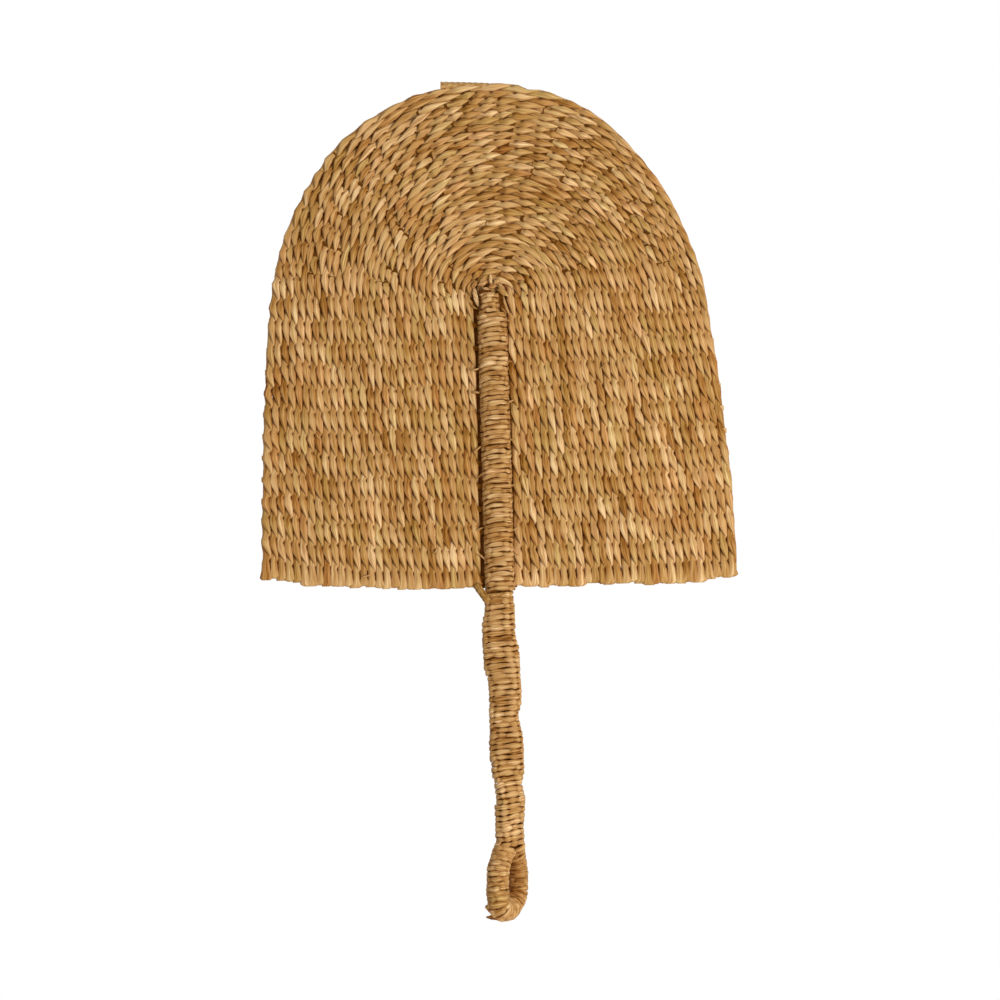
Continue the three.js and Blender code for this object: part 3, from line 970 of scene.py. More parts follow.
class WoundTree(StrandTree):
    """A strand wound round a core whose section is an oval."""

    name = "wound_strand"
    sizes = {
        "Strand width": 1.6 * MM,
        "Strand thickness": 1.0 * MM,
        "Ply depth": 0.2,
        "Ply twist": 7.0,
        "Wander": 0.75 * MM,
        "Heave": 0.5 * MM,
        "Arch": 0.5 * MM,
        "Girth spread": 0.35,
        "Pinches": 8.0,
        "Pinch": 0.19,
        "Shuffle": 1.6,
        "Sink": 0.35 * MM,
        "Squareness": 0.8,
        "Back reach": 0.0,
    }
    seed_step: float = 5.3
    stray_wave: float = 5.3
    swell_wave: float = 6.1
    heave_wave: float = 3.1
    slow_wave: float = 0.31
    hue_wave: float = 0.23
    pinch_start: float = 0.63
    behind_power: float = 1.5
    turn_length: float = 9.0
    fibre_across: float = 1.8
    fibre_slant: float = 0.2
    fibre_along: float = 0.35
    tone_middle: float = 0.5
    tone_spread: float = 0.3
    slow_spread: float = 0.8
    # Painted shade: turns darker at their pinches and edges, and the loop's rear leg darker on the side that
    # faces the other leg.
    pinch_shading: float = 0.04
    pinch_tuck: float = 0.4
    inner_shade_start: float = 0.2
    inner_shade_tone: float = 0.3
    inside_tuck: float = 0.5

    def drift(self, wave: float, layer: float, detail: float = 1.0) -> Field:
        """Gives slow noise along the winding.

        Args:
            wave: How fast it changes from turn to turn.
            layer: Which of the separate noises it is.
            detail: How many finer layers it has.

        Returns:
            The noise, about 0.
        """
        seed = self.size("Seed") * self.seed_step
        place = self.sheet.join(self.named("turns") * wave, seed, layer)
        return self.sheet.noise(place, 1.0, detail) - 0.5

    def shape(self, ring: Field) -> dict[str, Field]:
        """Gives the skin of the wound strand.

        Args:
            ring: The place on the round section.

        Returns:
            The values by name.
        """
        sheet = self.sheet
        turns = self.named("turns")
        angle = turns * (2 * math.pi)
        cosine = sheet.math("COSINE", angle) * -1
        sine = sheet.math("SINE", angle)
        wide = self.named("wide", True)
        deep = self.named("deep", True)
        course = self.named("course", True)
        reach_wide, reach_deep, bunch = sheet.split(self.named("reach", True))
        squareness = self.size("Squareness")
        cross = sheet.signed_power(cosine, squareness)
        back = sheet.signed_power(sine, squareness)
        normal = sheet.vector("NORMALIZE", wide * (cosine * reach_deep) + deep * (sine * reach_wide))
        stray = self.drift(self.stray_wave, 0.0)
        swell = self.drift(self.swell_wave, 7.0)
        heave = self.drift(self.heave_wave, 19.0)
        waves = turns * self.size("Pinches") + self.pinch_start + stray * self.size("Shuffle")
        pinch = sheet.math("COSINE", waves * (2 * math.pi))
        narrow = 0.5 - pinch * 0.5
        number = sheet.math("FLOOR", waves + 0.5)
        arch = sheet.math("MAXIMUM", sine * -1, 0.0) ** 2 * self.size("Arch")
        shift = bunch * sheet.math("MAXIMUM", sine, 0.0) + stray * 2 * self.size("Wander") + arch
        behind = sheet.math("MAXIMUM", back, 0.0) ** self.behind_power
        side = cross * (reach_wide + behind * self.size("Back reach"))
        centre = self.named("centre", True) + wide * side + deep * (back * reach_deep)
        across, out, _ = sheet.split(ring)
        lobe, _ = self.lobes(across, out, turns)
        girth = lobe * (1 + swell * 2 * self.size("Girth spread"))
        blunt = sheet.signed_power(out, self.bluntness)
        fanned = 1 + self.named("fan") * sheet.math("MAXIMUM", cosine * -1, 0.0)
        width = across * girth * fanned * (1 + pinch * self.size("Pinch")) * self.size("Strand width")
        sunk = narrow ** 2 * self.size("Sink")
        thick = blunt * girth * self.size("Strand thickness") + heave * self.size("Heave") - sunk
        place = centre + course * (shift + width) + normal * thick
        along = turns * self.turn_length
        thread = self.chance(number, 3) * self.thread_spread
        aslant = across * self.fibre_across + out + along * self.fibre_slant
        slow = self.drift(self.slow_wave, 3.0, 2.0) * self.slow_spread
        own = (self.chance(number, 4) - 0.5) * self.tone_spread
        # Painted shade on the loop's rear leg, on the side that faces the other leg.
        inside = sheet.math("MAXIMUM", cosine + self.inner_shade_start, 0.0) * self.named("shade")
        tone = self.tone_middle + slow + own + pinch * self.pinch_shading
        crease_shade = sheet.math("MAXIMUM", narrow ** 3 * self.pinch_tuck, sheet.math("ABSOLUTE", across) ** 4)
        return {
            "place": place,
            "tone": tone - inside * self.inner_shade_tone,
            "hue": 0.5 + self.drift(self.hue_wave, 11.0) * 2,
            "tuck": sheet.math("MAXIMUM", crease_shade, inside * self.inside_tuck),
            "fibre": sheet.join(aslant, along * self.fibre_along, thread),
        }


class LaidTree(StrandTree):
    """A single strand laid along a path."""

    name = "laid_strand"
    sizes = {"Strand width": 1.4 * MM, "Strand thickness": 0.9 * MM, "Ply depth": 0.15, "Ply twist": 0.9}
    tone_low: float = 0.25
    tone_spread: float = 0.6
    fold_tuck: float = 0.6
    fibre_across: float = 2.0
    fibre_along: float = 0.2
    thread_step: float = 7.1

    def shape(self, ring: Field) -> dict[str, Field]:
        """Gives the skin of the laid strand.

        Args:
            ring: The place on the round section.

        Returns:
            The values by name.
        """
        sheet = self.sheet
        along = self.named("along")
        girth = self.named("girth")
        thread = self.named("thread")
        across, out, _ = sheet.split(ring)
        swell, fold = self.lobes(across, out, along)
        lobe = girth * swell
        width = across * lobe * self.size("Strand width")
        thick = out * lobe * self.size("Strand thickness")
        beside = self.named("centre", True) + self.named("wide", True) * width
        aslant = across * self.fibre_across + out
        # Painted shade in the folds between the two plies.
        return {
            "place": beside + self.named("deep", True) * thick,
            "tone": self.tone_low + self.chance(thread, 4) * self.tone_spread - self.named("shade"),
            "hue": self.chance(thread, 5),
            "tuck": fold * self.fold_tuck,
            "fibre": sheet.join(aslant, along * self.fibre_along, thread * self.thread_step),
        }


def strand_line(
    places: Sequence[Vector],
    faces: Sequence[Vector],
    thread: float,
    taper: float,
    shade: float = 0.0,
) -> Line:
    """Makes the line of a laid strand.

    Args:
        places: The points that it follows.
        faces: The direction that its flat side faces at each point.
        thread: A number that its tone is drawn from.
        taper: How much thinner its ends are, 0 for square ends.
        shade: How much darker it is.

    Returns:
        The line.
    """
    line = Line()
    along = 0.0
    last = len(places) - 1
    for i, (place, face) in enumerate(zip(places, faces)):
        before = places[max(i - 1, 0)]
        course = (places[min(i + 1, last)] - before).normalized()
        along += (place - before).length
        girth = 1 - taper * abs(2 * i / last - 1) ** TAPER_POWER
        wide = course.cross(face).normalized()
        deep = wide.cross(course).normalized()
        line.add(place, along=along, girth=girth, thread=thread, shade=shade, wide=wide, deep=deep)
    return line


def dress(piece: bpy.types.Object, slot: Slot, *nodes: str) -> None:
    """Fixes a finished piece to the part's body.

    Args:
        piece: The piece.
        slot: The finish's slot in the record; not used.
        *nodes: Names of the solids that it stands for.
    """
    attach(piece, BODY)
    if nodes:
        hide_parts(*nodes)
    LOG.info("%s: %d faces", piece.name, len(piece.data.polygons))


@dataclass(frozen=True)
class Rim:
    """One half of the panel's rim.

    Attributes:
        half: Which half it is.
        reach: How far it lies from the axis at the hub's level.
        flare: How much further the foot lies.
        lift: How far the foot's corner is lifted.
        shoulder: Length of the curve's handle at the shoulder.
        crown: Length of the curve's handle at the crown.
    """

    half: Half
    reach: float
    flare: float
    lift: float
    shoulder: float
    crown: float


class Stop(NamedTuple):
    """A stop on the lines of a row.

    Attributes:
        length: The length along the row.
        cell: The place counted in stakes.
        hook: How far the strand has turned at a foot, 0 where it runs straight.
        foot: 1 at a foot, and below 0 beside the stake next to it.
    """

    length: float
    cell: float
    hook: float
    foot: float


@dataclass
class Panel:
    """The twined panel: rows of strand pairs round level stakes and rays.

    Attributes:
        finish: The rows' finish.
        stake_finish: The level stakes' finish.
        ray_finish: The finish of the rays in the crown.
        left: The left rim.
        right: The right rim.
    """

    finish: Straw
    stake_finish: Reed
    ray_finish: Reed
    left: Rim = Rim(Half.LEFT, 131.2, 9.7, 11.8, 48.4, 88.9)
    right: Rim = Rim(Half.RIGHT, 127.4, 15.2, 3.6, 50.0, 78.3)
    # The panel's outline.
    rows: int = 29
    plane: float = 3.8
    hub: float = 254.3
    foot: float = 178.8
    foot_curve: float = 2.5
    inner: float = 10.45
    hub_rise: float = 5.0
    crown_rise: float = 124.0
    round_handle: float = 0.5523
    # The stakes and the rays.
    cross_stakes: int = 13
    first_drop: float = 7.2
    stake_pitch: float = 13.8
    rays: int = 7
    root_radius: float = 10.0
    first_split: float = 32.0
    second_split: float = 68.0
    stagger: float = 14.0
    least_cell: float = 7.0
    longest_cell: float = 18.0
    # The hooks at the foot, and how unevenly the rows end and pass the stakes.
    hook: float = 2.2
    bump: float = 0.8
    ruffle: float = 0.6
    left_sag: float = 1.8
    right_sag: float = 2.4
    drift: float = 1.3
    jitter: float = 2.0
    crown_shift: float = 0.6
    steady_foot: float = 45.0
    wander: float = 0.35
    # The rim's hollow and swells, and where the leaves begin to point the other way.
    notch: float = 1.6
    notch_way: float = 1.118
    notch_reach: float = 0.036
    notch_fade: float = 24.0
    rim_back: float = 0.62
    scallop: float = 0.37
    small_scallop: float = 0.16
    scallop_fade: float = 10.0
    flip_way: float = 0.78
    flip_spread: float = 0.16
    flip_pace: float = 4.0
    # Steps along a row.
    steps: int = 12
    hook_steps: int = 6
    way_steps: int = 40
    probe: float = 0.002
    fill_share: float = 0.7
    # Spans and waves of the unevenness.
    left_sag_span: Span = (0.5, 0.75)
    right_sag_span: Span = (0.45, 0.7)
    right_sag_end: Span = (0.85, 1.0)
    slow_wave: float = 0.045
    slow_step: float = 0.5
    quick_wave: float = 0.11
    quick_step: float = 0.37
    quick_start: float = 1.3
    quick_share: float = 0.6
    swell_spread: Span = (0.1, 1.5)
    swell_end: Span = (0.75, 1.0)
    row_shift: float = 0.5
    row_stray: float = 0.2
    row_wave: float = 2.3
    crown_start: Span = (-0.1, 0.35)
    crown_end: Span = (1.65, 2.1)
    foot_looseness: float = 0.35
    drift_row: float = 0.7
    drift_stake: float = 1.1
    usual_pair: float = 28.0
    row_sides: int = 10
    first_seed: int = 11
    seed_step: int = 17

    def even_ways(self) -> list[float]:
        """Returns ways at even steps from the left foot over the top to the right foot."""
        return [i / self.way_steps - 1 for i in range(4 * self.way_steps + 1)]

    def foot_drop(self, rim: Rim, out: float) -> float:
        """Returns how far the foot's edge lies below the hub's level."""
        return self.foot - rim.lift * max(out, 0.0) ** self.foot_curve

    def side_place(self, rim: Rim, out: float, down: float) -> Vector:
        """Finds a place below the hub's level.

        Args:
            rim: The half's rim.
            out: The share of the way from the spine to the rim.
            down: 0 at the hub's level and 1 at the foot.

        Returns:
            The place.
        """
        bow = 1 - (1 - down) ** 2
        x = mix(self.inner, rim.reach, out) + rim.flare * out * bow
        return Vector((rim.half.value * x, self.plane, self.hub - self.foot_drop(rim, out) * down))

    def crown_place(self, rim: Rim, out: float, turn: float) -> Vector:
        """Finds a place above the hub's level.

        Args:
            rim: The half's rim.
            out: The share of the way from the spine to the rim.
            turn: 0 at the hub's level and 1 at the top.

        Returns:
            The place.
        """
        reach = mix(self.inner, rim.reach, out)
        rise = mix(self.hub_rise, self.crown_rise, out)
        shoulder = mix(self.hub_rise * self.round_handle, rim.shoulder, out)
        crown = mix(self.inner * self.round_handle, rim.crown, out)
        lean = 2 * rim.flare * out / self.foot_drop(rim, out)
        rest = 1 - turn
        weights = (rest ** 3, 3 * rest ** 2 * turn, 3 * rest * turn ** 2, turn ** 3)
        x = weights[0] * reach + weights[1] * (reach - lean * shoulder) + weights[2] * crown
        z = weights[1] * shoulder + (weights[2] + weights[3]) * rise
        return Vector((rim.half.value * x, self.plane, self.hub + z))

    def place(self, out: float, way: float) -> Vector:
        """Returns a place in the panel.

        Args:
            out: The share of the way from the spine to the rim.
            way: -1 at the left foot, 0 at the left of the hub's level, 1 at the top, 3 at the right foot.

        Returns:
            The place.
        """
        if way < 0:
            return self.side_place(self.left, out, -way)
        if way <= 1:
            return self.crown_place(self.left, out, way)
        if way <= 2:
            return self.crown_place(self.right, out, 2 - way)
        return self.side_place(self.right, out, way - 2)

    def ray_ways(self, radius: float) -> list[float]:
        """Finds where the crown's rays cross a row.

        Args:
            radius: The row's radius.

        Returns:
            The ways.
        """
        ways: list[float] = []
        spread = 2 / self.rays
        for ray in range(self.rays):
            shift = self.stagger if ray % 2 else 0.0
            first = self.first_split + shift
            second = self.second_split + shift
            trunk = (ray + 0.5) * spread
            opened = clamp((radius - first) / (second - first)) * spread / 4
            forked = max((radius - second) / (self.crown_rise - second), 0.0) * spread / 8
            ways.extend(trunk + a * opened + b * forked for a in (-1, 1) for b in (-1, 1))
        return ways

    def crossings(self, out: float, lengths: Sequence[float], ways: Sequence[float]) -> list[float]:
        """Finds where a row passes its stakes.

        Args:
            out: The row's place between the spine and the rim.
            lengths: Lengths along the row.
            ways: The way at each of those lengths.

        Returns:
            Lengths along the row, with stakes that lie too close taken as one.
        """
        radius = mix(self.hub_rise, self.crown_rise, out)
        drops = [self.first_drop + i * self.stake_pitch for i in range(self.cross_stakes)]
        found = [-drop / self.foot for drop in drops] + [2 + drop / self.foot for drop in drops]
        if radius > self.root_radius:
            found.extend(self.ray_ways(radius))
        at = sorted(lookup(ways, lengths, way) for way in found)
        groups: list[list[float]] = [[at[0]]]
        for length in at[1:]:
            if length - groups[-1][0] < self.least_cell:
                groups[-1].append(length)
            else:
                groups.append([length])
        means = [sum(group) / len(group) for group in groups]
        filled = [means[0]]
        for length in means[1:]:
            gap = length - filled[-1]
            fitted = max(round(gap / (self.longest_cell * self.fill_share)), 1)
            parts = fitted if gap > self.longest_cell else 1
            start = filled[-1]
            filled.extend(start + gap * (i + 1) / parts for i in range(parts))
        return filled

    def bump_at(self, half: Half, row: int) -> float:
        """Finds how far a row's turn reaches past the foot, much alike for the two rows that it joins.

        Args:
            half: The half of the panel.
            row: The row's number from the spine.

        Returns:
            The distance.
        """
        pair = row // 2 if half is Half.LEFT else (row + 1) // 2
        shared = random.Random(Seed.PAIR * pair + half.value).uniform(-self.bump, self.bump)
        own = random.Random(Seed.ROW * row + half.value).uniform(-self.ruffle, self.ruffle)
        out = (row + 0.5) / self.rows
        if half is Half.LEFT:
            return shared + own + self.left_sag * smooth(out, *self.left_sag_span)
        sag = self.right_sag * smooth(out, *self.right_sag_span) * (1 - smooth(out, *self.right_sag_end))
        return shared + own + sag

    def partner_at(self, half: Half, row: int) -> int:
        """Returns 1 where a row turns into the next one at a foot, -1 into the one before, 0 into none."""
        way = 1 if (row % 2 == 0) is (half is Half.LEFT) else -1
        return way if 0 <= row + way < self.rows else 0

    def wander_at(self, row: int, length: float) -> float:
        """Finds how far a row strays from its even course, much as its neighbours do.

        Args:
            row: The row's number from the spine.
            length: The length along it.

        Returns:
            The distance outwards.
        """
        slow = math.sin(self.slow_wave * length + self.slow_step * row)
        quick = math.sin(self.quick_wave * length - self.quick_step * row + self.quick_start)
        return self.wander * (slow + self.quick_share * quick)

    def notch_at(self, row: int, way: float) -> float:
        """Returns how far a row is drawn in at the top of the rim, where the outermost row has a hollow."""
        share = (row / (self.rows - 1)) ** self.notch_fade
        return self.notch * share * (1 - smooth(abs(way - self.notch_way), 0.0, self.notch_reach))

    def scallop_at(self, row: int, cell: float, way: float) -> float:
        """Finds how far a leaf of the outermost rows swells past the rim, most of all on the left.

        Args:
            row: The row's number from the spine.
            cell: The place along the row, counted in stakes.
            way: The same place as a way round the panel.

        Returns:
            The distance outwards, below 0 where the ends of two leaves are drawn in.
        """
        share = (row / (self.rows - 1)) ** self.scallop_fade
        swell = mix(self.scallop, self.small_scallop, smooth(way, *self.swell_end))
        own = random.Random(Seed.SWELL * row + round(cell)).uniform(*self.swell_spread)
        return swell * own * share * math.cos(2 * math.pi * cell)

    def flip_at(self, row: int, ways: Sequence[float]) -> int:
        """Finds the stake of a row where its leaves begin to point the other way.

        Args:
            row: The row's number from the spine.
            ways: The way at each stake that the row passes.

        Returns:
            The stake's number along the row.
        """
        stray = random.Random(Seed.FLIP * row + 3).uniform(-self.flip_spread, self.flip_spread)
        return min(range(len(ways)), key=lambda stake: abs(ways[stake] - self.flip_way - stray))

    def shifted(
        self,
        row: int,
        even: Sequence[float],
        lengths: Sequence[float],
        ways: Sequence[float],
    ) -> list[float]:
        """Shifts the places where a row passes its stakes, as work by hand does.

        Args:
            row: The row's number from the spine.
            even: The even places, as lengths along the row.
            lengths: Lengths along the row.
            ways: The way at each of those lengths.

        Returns:
            The shifted places, as lengths along the row.
        """
        draw = random.Random(Seed.STAKE * row + 7)
        turned = (self.row_shift * row + self.row_stray * math.sin(self.row_wave * row)) % 1 - 0.5
        at: list[float] = []
        for i, length in enumerate(even):
            way = lookup(lengths, ways, length)
            crown = smooth(way, *self.crown_start) * (1 - smooth(way, *self.crown_end))
            cell = even[min(i + 1, len(even) - 1)] - even[max(i - 1, 0)]
            inset = min(length, lengths[-1] - length)
            loose = mix(self.foot_looseness, 1.0, smooth(inset, 0.0, self.steady_foot))
            wave = math.sin(self.drift_row * row + self.drift_stake * i)
            stray = draw.uniform(-self.jitter, self.jitter) + self.drift * wave
            stray = mix(stray, stray * cell / self.usual_pair, crown)
            at.append(length + stray * loose + turned * self.crown_shift * crown * cell / 2)
        return at

    def stops(self, at: Sequence[float], total: float) -> list[Stop]:
        """Lists the stops of a row's lines: the hook at each foot, and steps from stake to stake.

        Args:
            at: Where the row passes its stakes, as lengths along it.
            total: The row's length.

        Returns:
            The stops, from the left foot to the right foot.
        """
        last = len(at) - 1
        numbers = list(range(last + 1))
        found: list[Stop] = []
        for i in range(self.hook_steps):
            bent = math.sin(math.pi / 2 * (1 - i / self.hook_steps))
            found.append(Stop(self.hook * (1 - bent), 0.0, bent, 1.0))
        found.append(Stop(mix(self.hook, at[0], 0.5), 0.0, 0.0, 0.0))
        for i in range(last * self.steps + 1):
            cell = i / self.steps
            beside = -max(1 - 2 * min(cell, last - cell), 0.0)
            found.append(Stop(lookup(numbers, at, cell), cell, 0.0, beside))
        found.append(Stop(mix(at[-1], total - self.hook, 0.5), float(last), 0.0, 0.0))
        for i in range(1, self.hook_steps + 1):
            bent = math.sin(math.pi / 2 * i / self.hook_steps)
            found.append(Stop(total - self.hook * (1 - bent), float(last), bent, 1.0))
        return found

    def across(self, out: float, way: float) -> tuple[Vector, float]:
        """Finds the direction across a row and the room that the row has.

        Args:
            out: The row's place between the spine and the rim.
            way: The place along it.

        Returns:
            The direction towards the rim, and the distance from row to row.
        """
        step = self.probe
        course = self.place(out, min(way + step, 3.0)) - self.place(out, max(way - step, -1.0))
        spread = self.place(out + step, way) - self.place(out - step, way)
        outward = Vector((course.z, 0.0, -course.x)).normalized()
        outward *= 1 if outward.dot(spread) > 0 else -1
        return outward, abs(outward.dot(spread)) / (2 * step) / self.rows

    def row_lines(self, row: int) -> list[Line]:
        """Lays the two lines of a row, from the left foot over the crown to the right foot.

        Args:
            row: The row's number from the spine, 0 first.

        Returns:
            One line for each strand.
        """
        out = (row + 0.5) / self.rows
        ways = self.even_ways()
        ways[0] -= self.bump_at(Half.LEFT, row) / self.foot
        ways[-1] += self.bump_at(Half.RIGHT, row) / self.foot
        lengths = lengths_along([self.place(out, way) for way in ways])
        total = lengths[-1]
        even = self.crossings(out, lengths, ways)
        flip = self.flip_at(row, [lookup(lengths, ways, length) for length in even])
        stops = self.stops(self.shifted(row, even, lengths, ways), total)
        lines: list[Line] = []
        for phase in (0.0, 1.0):
            line = Line()
            for stop in stops:
                way = lookup(lengths, ways, stop.length)
                outward, room = self.across(out, way)
                half = Half.LEFT if stop.length < total / 2 else Half.RIGHT
                stray = self.wander_at(row, stop.length) + self.scallop_at(row, stop.cell, way)
                line.add(
                    self.place(out, way) + outward * (stray - self.notch_at(row, way)),
                    cell=stop.cell,
                    phase=phase,
                    hook=stop.hook,
                    foot=stop.foot,
                    partner=float(self.partner_at(half, row)),
                    tip=clamp(self.flip_pace * (stop.cell - flip), -1.0, 1.0),
                    room=room * MM,
                    along=stop.length,
                    outward=outward,
                )
            lines.append(line)
        return lines

    def build(self, tree: TwinedTree) -> None:
        """Grows every row and finishes the stakes.

        Args:
            tree: The tree for twined strands.
        """
        stalks = {"cross": self.stake_finish.material(), "crown": self.ray_finish.material()}
        for name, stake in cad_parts.items():
            if "_stake_" in name:
                stake.data.materials.clear()
                stake.data.materials.append(stalks[name.split("_")[0]])
        material = self.finish.material()
        for row in range(self.rows):
            number = f"{row + 1:02d}"
            lines = self.row_lines(row)
            sizes = {"Back_width": self.rim_back} if row == self.rows - 1 else {}
            seed = self.first_seed + row * self.seed_step
            piece = tree.grow(f"twined_row_{number}", lines, material, seed, self.row_sides, **sizes)
            dress(piece, Slot.WEFT, f"weft_row_{number}")


@dataclass(frozen=True)
class Lump:
    """A swelling of the grip's outline on one side.

    Attributes:
        side: -1 for the left, 1 for the right.
        level: The level of its middle.
        reach: How far it runs up and down from there.
        size: How far it stands out, below 0 for a hollow.
    """

    side: int
    level: float
    reach: float
    size: float

    def at(self, z: float) -> float:
        """Returns how far it stands out at a level."""
        return self.size * (1 - smooth(abs(z - self.level), self.reach * 0.5, self.reach))


class Station(NamedTuple):
    """A station of the bent bundle.

    Attributes:
        centre: Its centre.
        back: The direction out of its back.
        half_width: Half its width.
        half_depth: Half its depth.
    """

    centre: Vector
    back: Vector
    half_width: float
    half_depth: float


class Oval(NamedTuple):
    """The oval that a winding follows at one place.

    Attributes:
        centre: Its centre.
        wide: The direction across it.
        deep: The direction out of its back.
        course: The direction that the winding advances in.
        reach: Half its width, half its depth, and how far the turns bunch up behind.
    """

    centre: Vector
    wide: Vector
    deep: Vector
    course: Vector
    reach: Vector


@dataclass
class Handle:
    """The handle: one bundle bent double, bound to the panel, wound at the grip and round the loop.

    Attributes:
        core_finish: The bundle's finish, dark as painted shade.
        wrap_finish: The wound strands' finish.
    """

    core_finish: Straw
    wrap_finish: Straw
    # The bundle.
    spine_width: float = 5.9
    spine_depth: float = 4.6
    grip_width: float = 7.2
    grip_depth: float = 6.4
    loop_size: float = 7.2
    leg_gap: float = 0.1
    core_fill: float = 1.24
    swell: float = 12.0
    foot: float = 75.5
    neck: float = -75.5
    hub: float = 254.3
    right_top: float = 240.2
    opening: float = 21.0
    spread: float = 22.0
    bend: float = -106.6
    turn_end: float = -67.5
    turn_length: float = 48.0
    turn_degrees: float = 58.5
    bow: float = 2.0
    # The windings.
    stake_top: float = 247.1
    stake_pitch: float = 13.8
    lift: float = 1.5
    front_bluntness: float = 0.55
    rear_bluntness: float = 1.35
    bend_fan: float = 0.7
    bow_end: float = -118.0
    bow_lean: float = 1.3
    leg_steps: int = 150
    neck_steps: int = 6
    bend_steps: int = 48
    bend_start: Span = (0.3, 0.42)
    bend_end: Span = (0.58, 0.7)
    # Where along the loop the rear leg's painted shade fades in.
    shade_span: Span = (0.5, 0.66)
    spine_drop: float = 2.0
    single_span: Span = (-2.0, 2.5)
    single_slack: float = 0.4
    single_shift: float = -0.6
    spine_slack: float = 0.6
    spine_shift: float = 0.9
    spine_back: float = 1.35
    bunch: float = 1.4
    grip_drop: float = 2.6
    grip_end: float = 3.0
    loop_drop: float = 4.0
    loop_slack: float = 0.9
    spine_turns: int = 61
    grip_turns: int = 47
    loop_turns: int = 32
    turn_steps: int = 64
    loop_steps: int = 48
    core_sides: int = 16
    wrap_sides: int = 10
    # The tie at the neck, with levels from the foot.
    tie_top: Triple = (-13.2, 0.2, 2.0)
    tie_neck: Triple = (-7.0, -4.8, -7.0)
    tie_face: Triple = (-0.25, -1.0, 0.0)
    tie_lead: int = 8
    tie_steps: int = 45
    tie_start: float = -138.0
    tie_step: float = 12.0
    tie_rise: float = 0.1
    tie_slack: float = 1.2
    tie_shade: float = 0.2
    tie_lead_girth: float = 1.7
    tie_girth: float = 0.6
    lumps: tuple[Lump, ...] = (
        Lump(-1, 64.0, 5.0, -0.6),
        Lump(-1, 40.0, 22.0, 1.5),
        Lump(1, 24.0, 25.0, 1.9),
        Lump(-1, 14.0, 13.0, -0.7),
        Lump(1, -1.0, 5.0, -0.8),
        Lump(-1, -21.0, 10.0, 0.9),
        Lump(1, -24.0, 18.0, 1.2),
        Lump(-1, -46.0, 11.0, -1.1),
        Lump(1, -66.0, 24.0, 3.0),
        Lump(-1, -65.0, 11.0, 0.7),
    )

    def sway(self, z: float) -> float:
        """Returns how far the grip bows to the right at a level."""
        share = clamp((self.foot - z) / (self.foot - self.bow_end))
        return self.bow * math.sin(math.pi * share ** self.bow_lean) ** 2

    def swelling(self, z: float) -> tuple[float, float]:
        """Sums the lumps at a level of the grip.

        Args:
            z: The level.

        Returns:
            How far they shift the grip to the right, and how far they widen each side.
        """
        left = sum(lump.at(z) for lump in self.lumps if lump.side < 0)
        right = sum(lump.at(z) for lump in self.lumps if lump.side > 0)
        return (right - left) / 2, (right + left) / 2

    def at(self, z: float) -> tuple[float, float, float, float]:
        """Gives the handle's form at a level.

        Args:
            z: The level.

        Returns:
            The turn in radians, the legs' spread, and a leg's half width and half depth.
        """
        grip = 1 - smooth(z, self.foot - self.swell, self.foot)
        loop = 1 - smooth(z, self.neck - self.opening, self.neck)
        turned = 1 - smooth(z, self.turn_end, self.turn_end + self.turn_length)
        width = mix(mix(self.spine_width, self.grip_width, grip), self.loop_size, loop)
        depth = mix(mix(self.spine_depth, self.grip_depth, grip), self.loop_size, loop)
        spread = mix(width + self.leg_gap, self.spread, loop)
        return math.radians(self.turn_degrees) * turned, spread, width / 2, depth / 2

    def stations(self) -> list[Station]:
        """Lists the bent bundle's stations.

        Returns:
            The stations from the left leg's top round the bend to the right leg's top.
        """
        found: list[Station] = []

        def leg(side: int, z: float) -> None:
            """Adds a station of one leg.

            Args:
                side: -1 for the left leg, 1 for the right.
                z: The station's level.
            """
            turn, spread, half_width, half_depth = self.at(z)
            shift, grown = self.swelling(z)
            across = side * (spread + grown) / 2
            centre = Vector((across * math.cos(turn) + self.sway(z) + shift, across * math.sin(turn), z))
            half_width += grown / 2
            back = Vector((-math.sin(turn), math.cos(turn), 0))
            found.append(Station(centre, back, half_width, half_depth))

        low = self.neck - self.opening
        levels = [mix(self.hub, low, i / self.leg_steps) for i in range(self.leg_steps)]
        levels += [mix(low, self.bend, i / self.neck_steps) for i in range(self.neck_steps)]
        for z in levels:
            leg(-1, z)
        radius = self.spread / 2
        half = self.loop_size / 2
        turn = math.radians(self.turn_degrees)
        back = Vector((-math.sin(turn), math.cos(turn), 0))
        for i in range(self.bend_steps + 1):
            angle = math.pi * i / self.bend_steps
            bluntness = self.front_bluntness if i < self.bend_steps // 2 else self.rear_bluntness
            across = -math.copysign(abs(math.cos(angle)) ** bluntness, math.cos(angle)) * radius
            z = self.bend - max(math.sin(angle), 0.0) ** bluntness * radius
            centre = Vector((across * math.cos(turn) + self.sway(z), across * math.sin(turn), z))
            found.append(Station(centre, back, half, half))
        for z in reversed(levels):
            if z < self.right_top:
                leg(1, z)
        return found

    def core(self, tree: LaidTree) -> None:
        """Lays the bent bundle.

        Args:
            tree: The tree for laid strands.
        """
        line = Line()
        stations = self.stations()
        along = 0.0
        for i, station in enumerate(stations):
            before = stations[max(i - 1, 0)].centre
            after = stations[min(i + 1, len(stations) - 1)].centre
            course = (after - before).normalized()
            along += (station.centre - before).length
            across = course.cross(station.back).normalized()
            line.add(
                station.centre,
                along=along,
                girth=1.0,
                thread=1.0,
                shade=0.0,
                wide=across * station.half_width * self.core_fill,
                deep=station.back * station.half_depth * self.core_fill,
            )
        piece = tree.grow(
            "bent_bundle",
            [line],
            self.core_finish.material(),
            seed=5,
            sides=self.core_sides,
            Strand_width=MM,
            Strand_thickness=MM,
        )
        dress(piece, Slot.CORE, "handle_core")

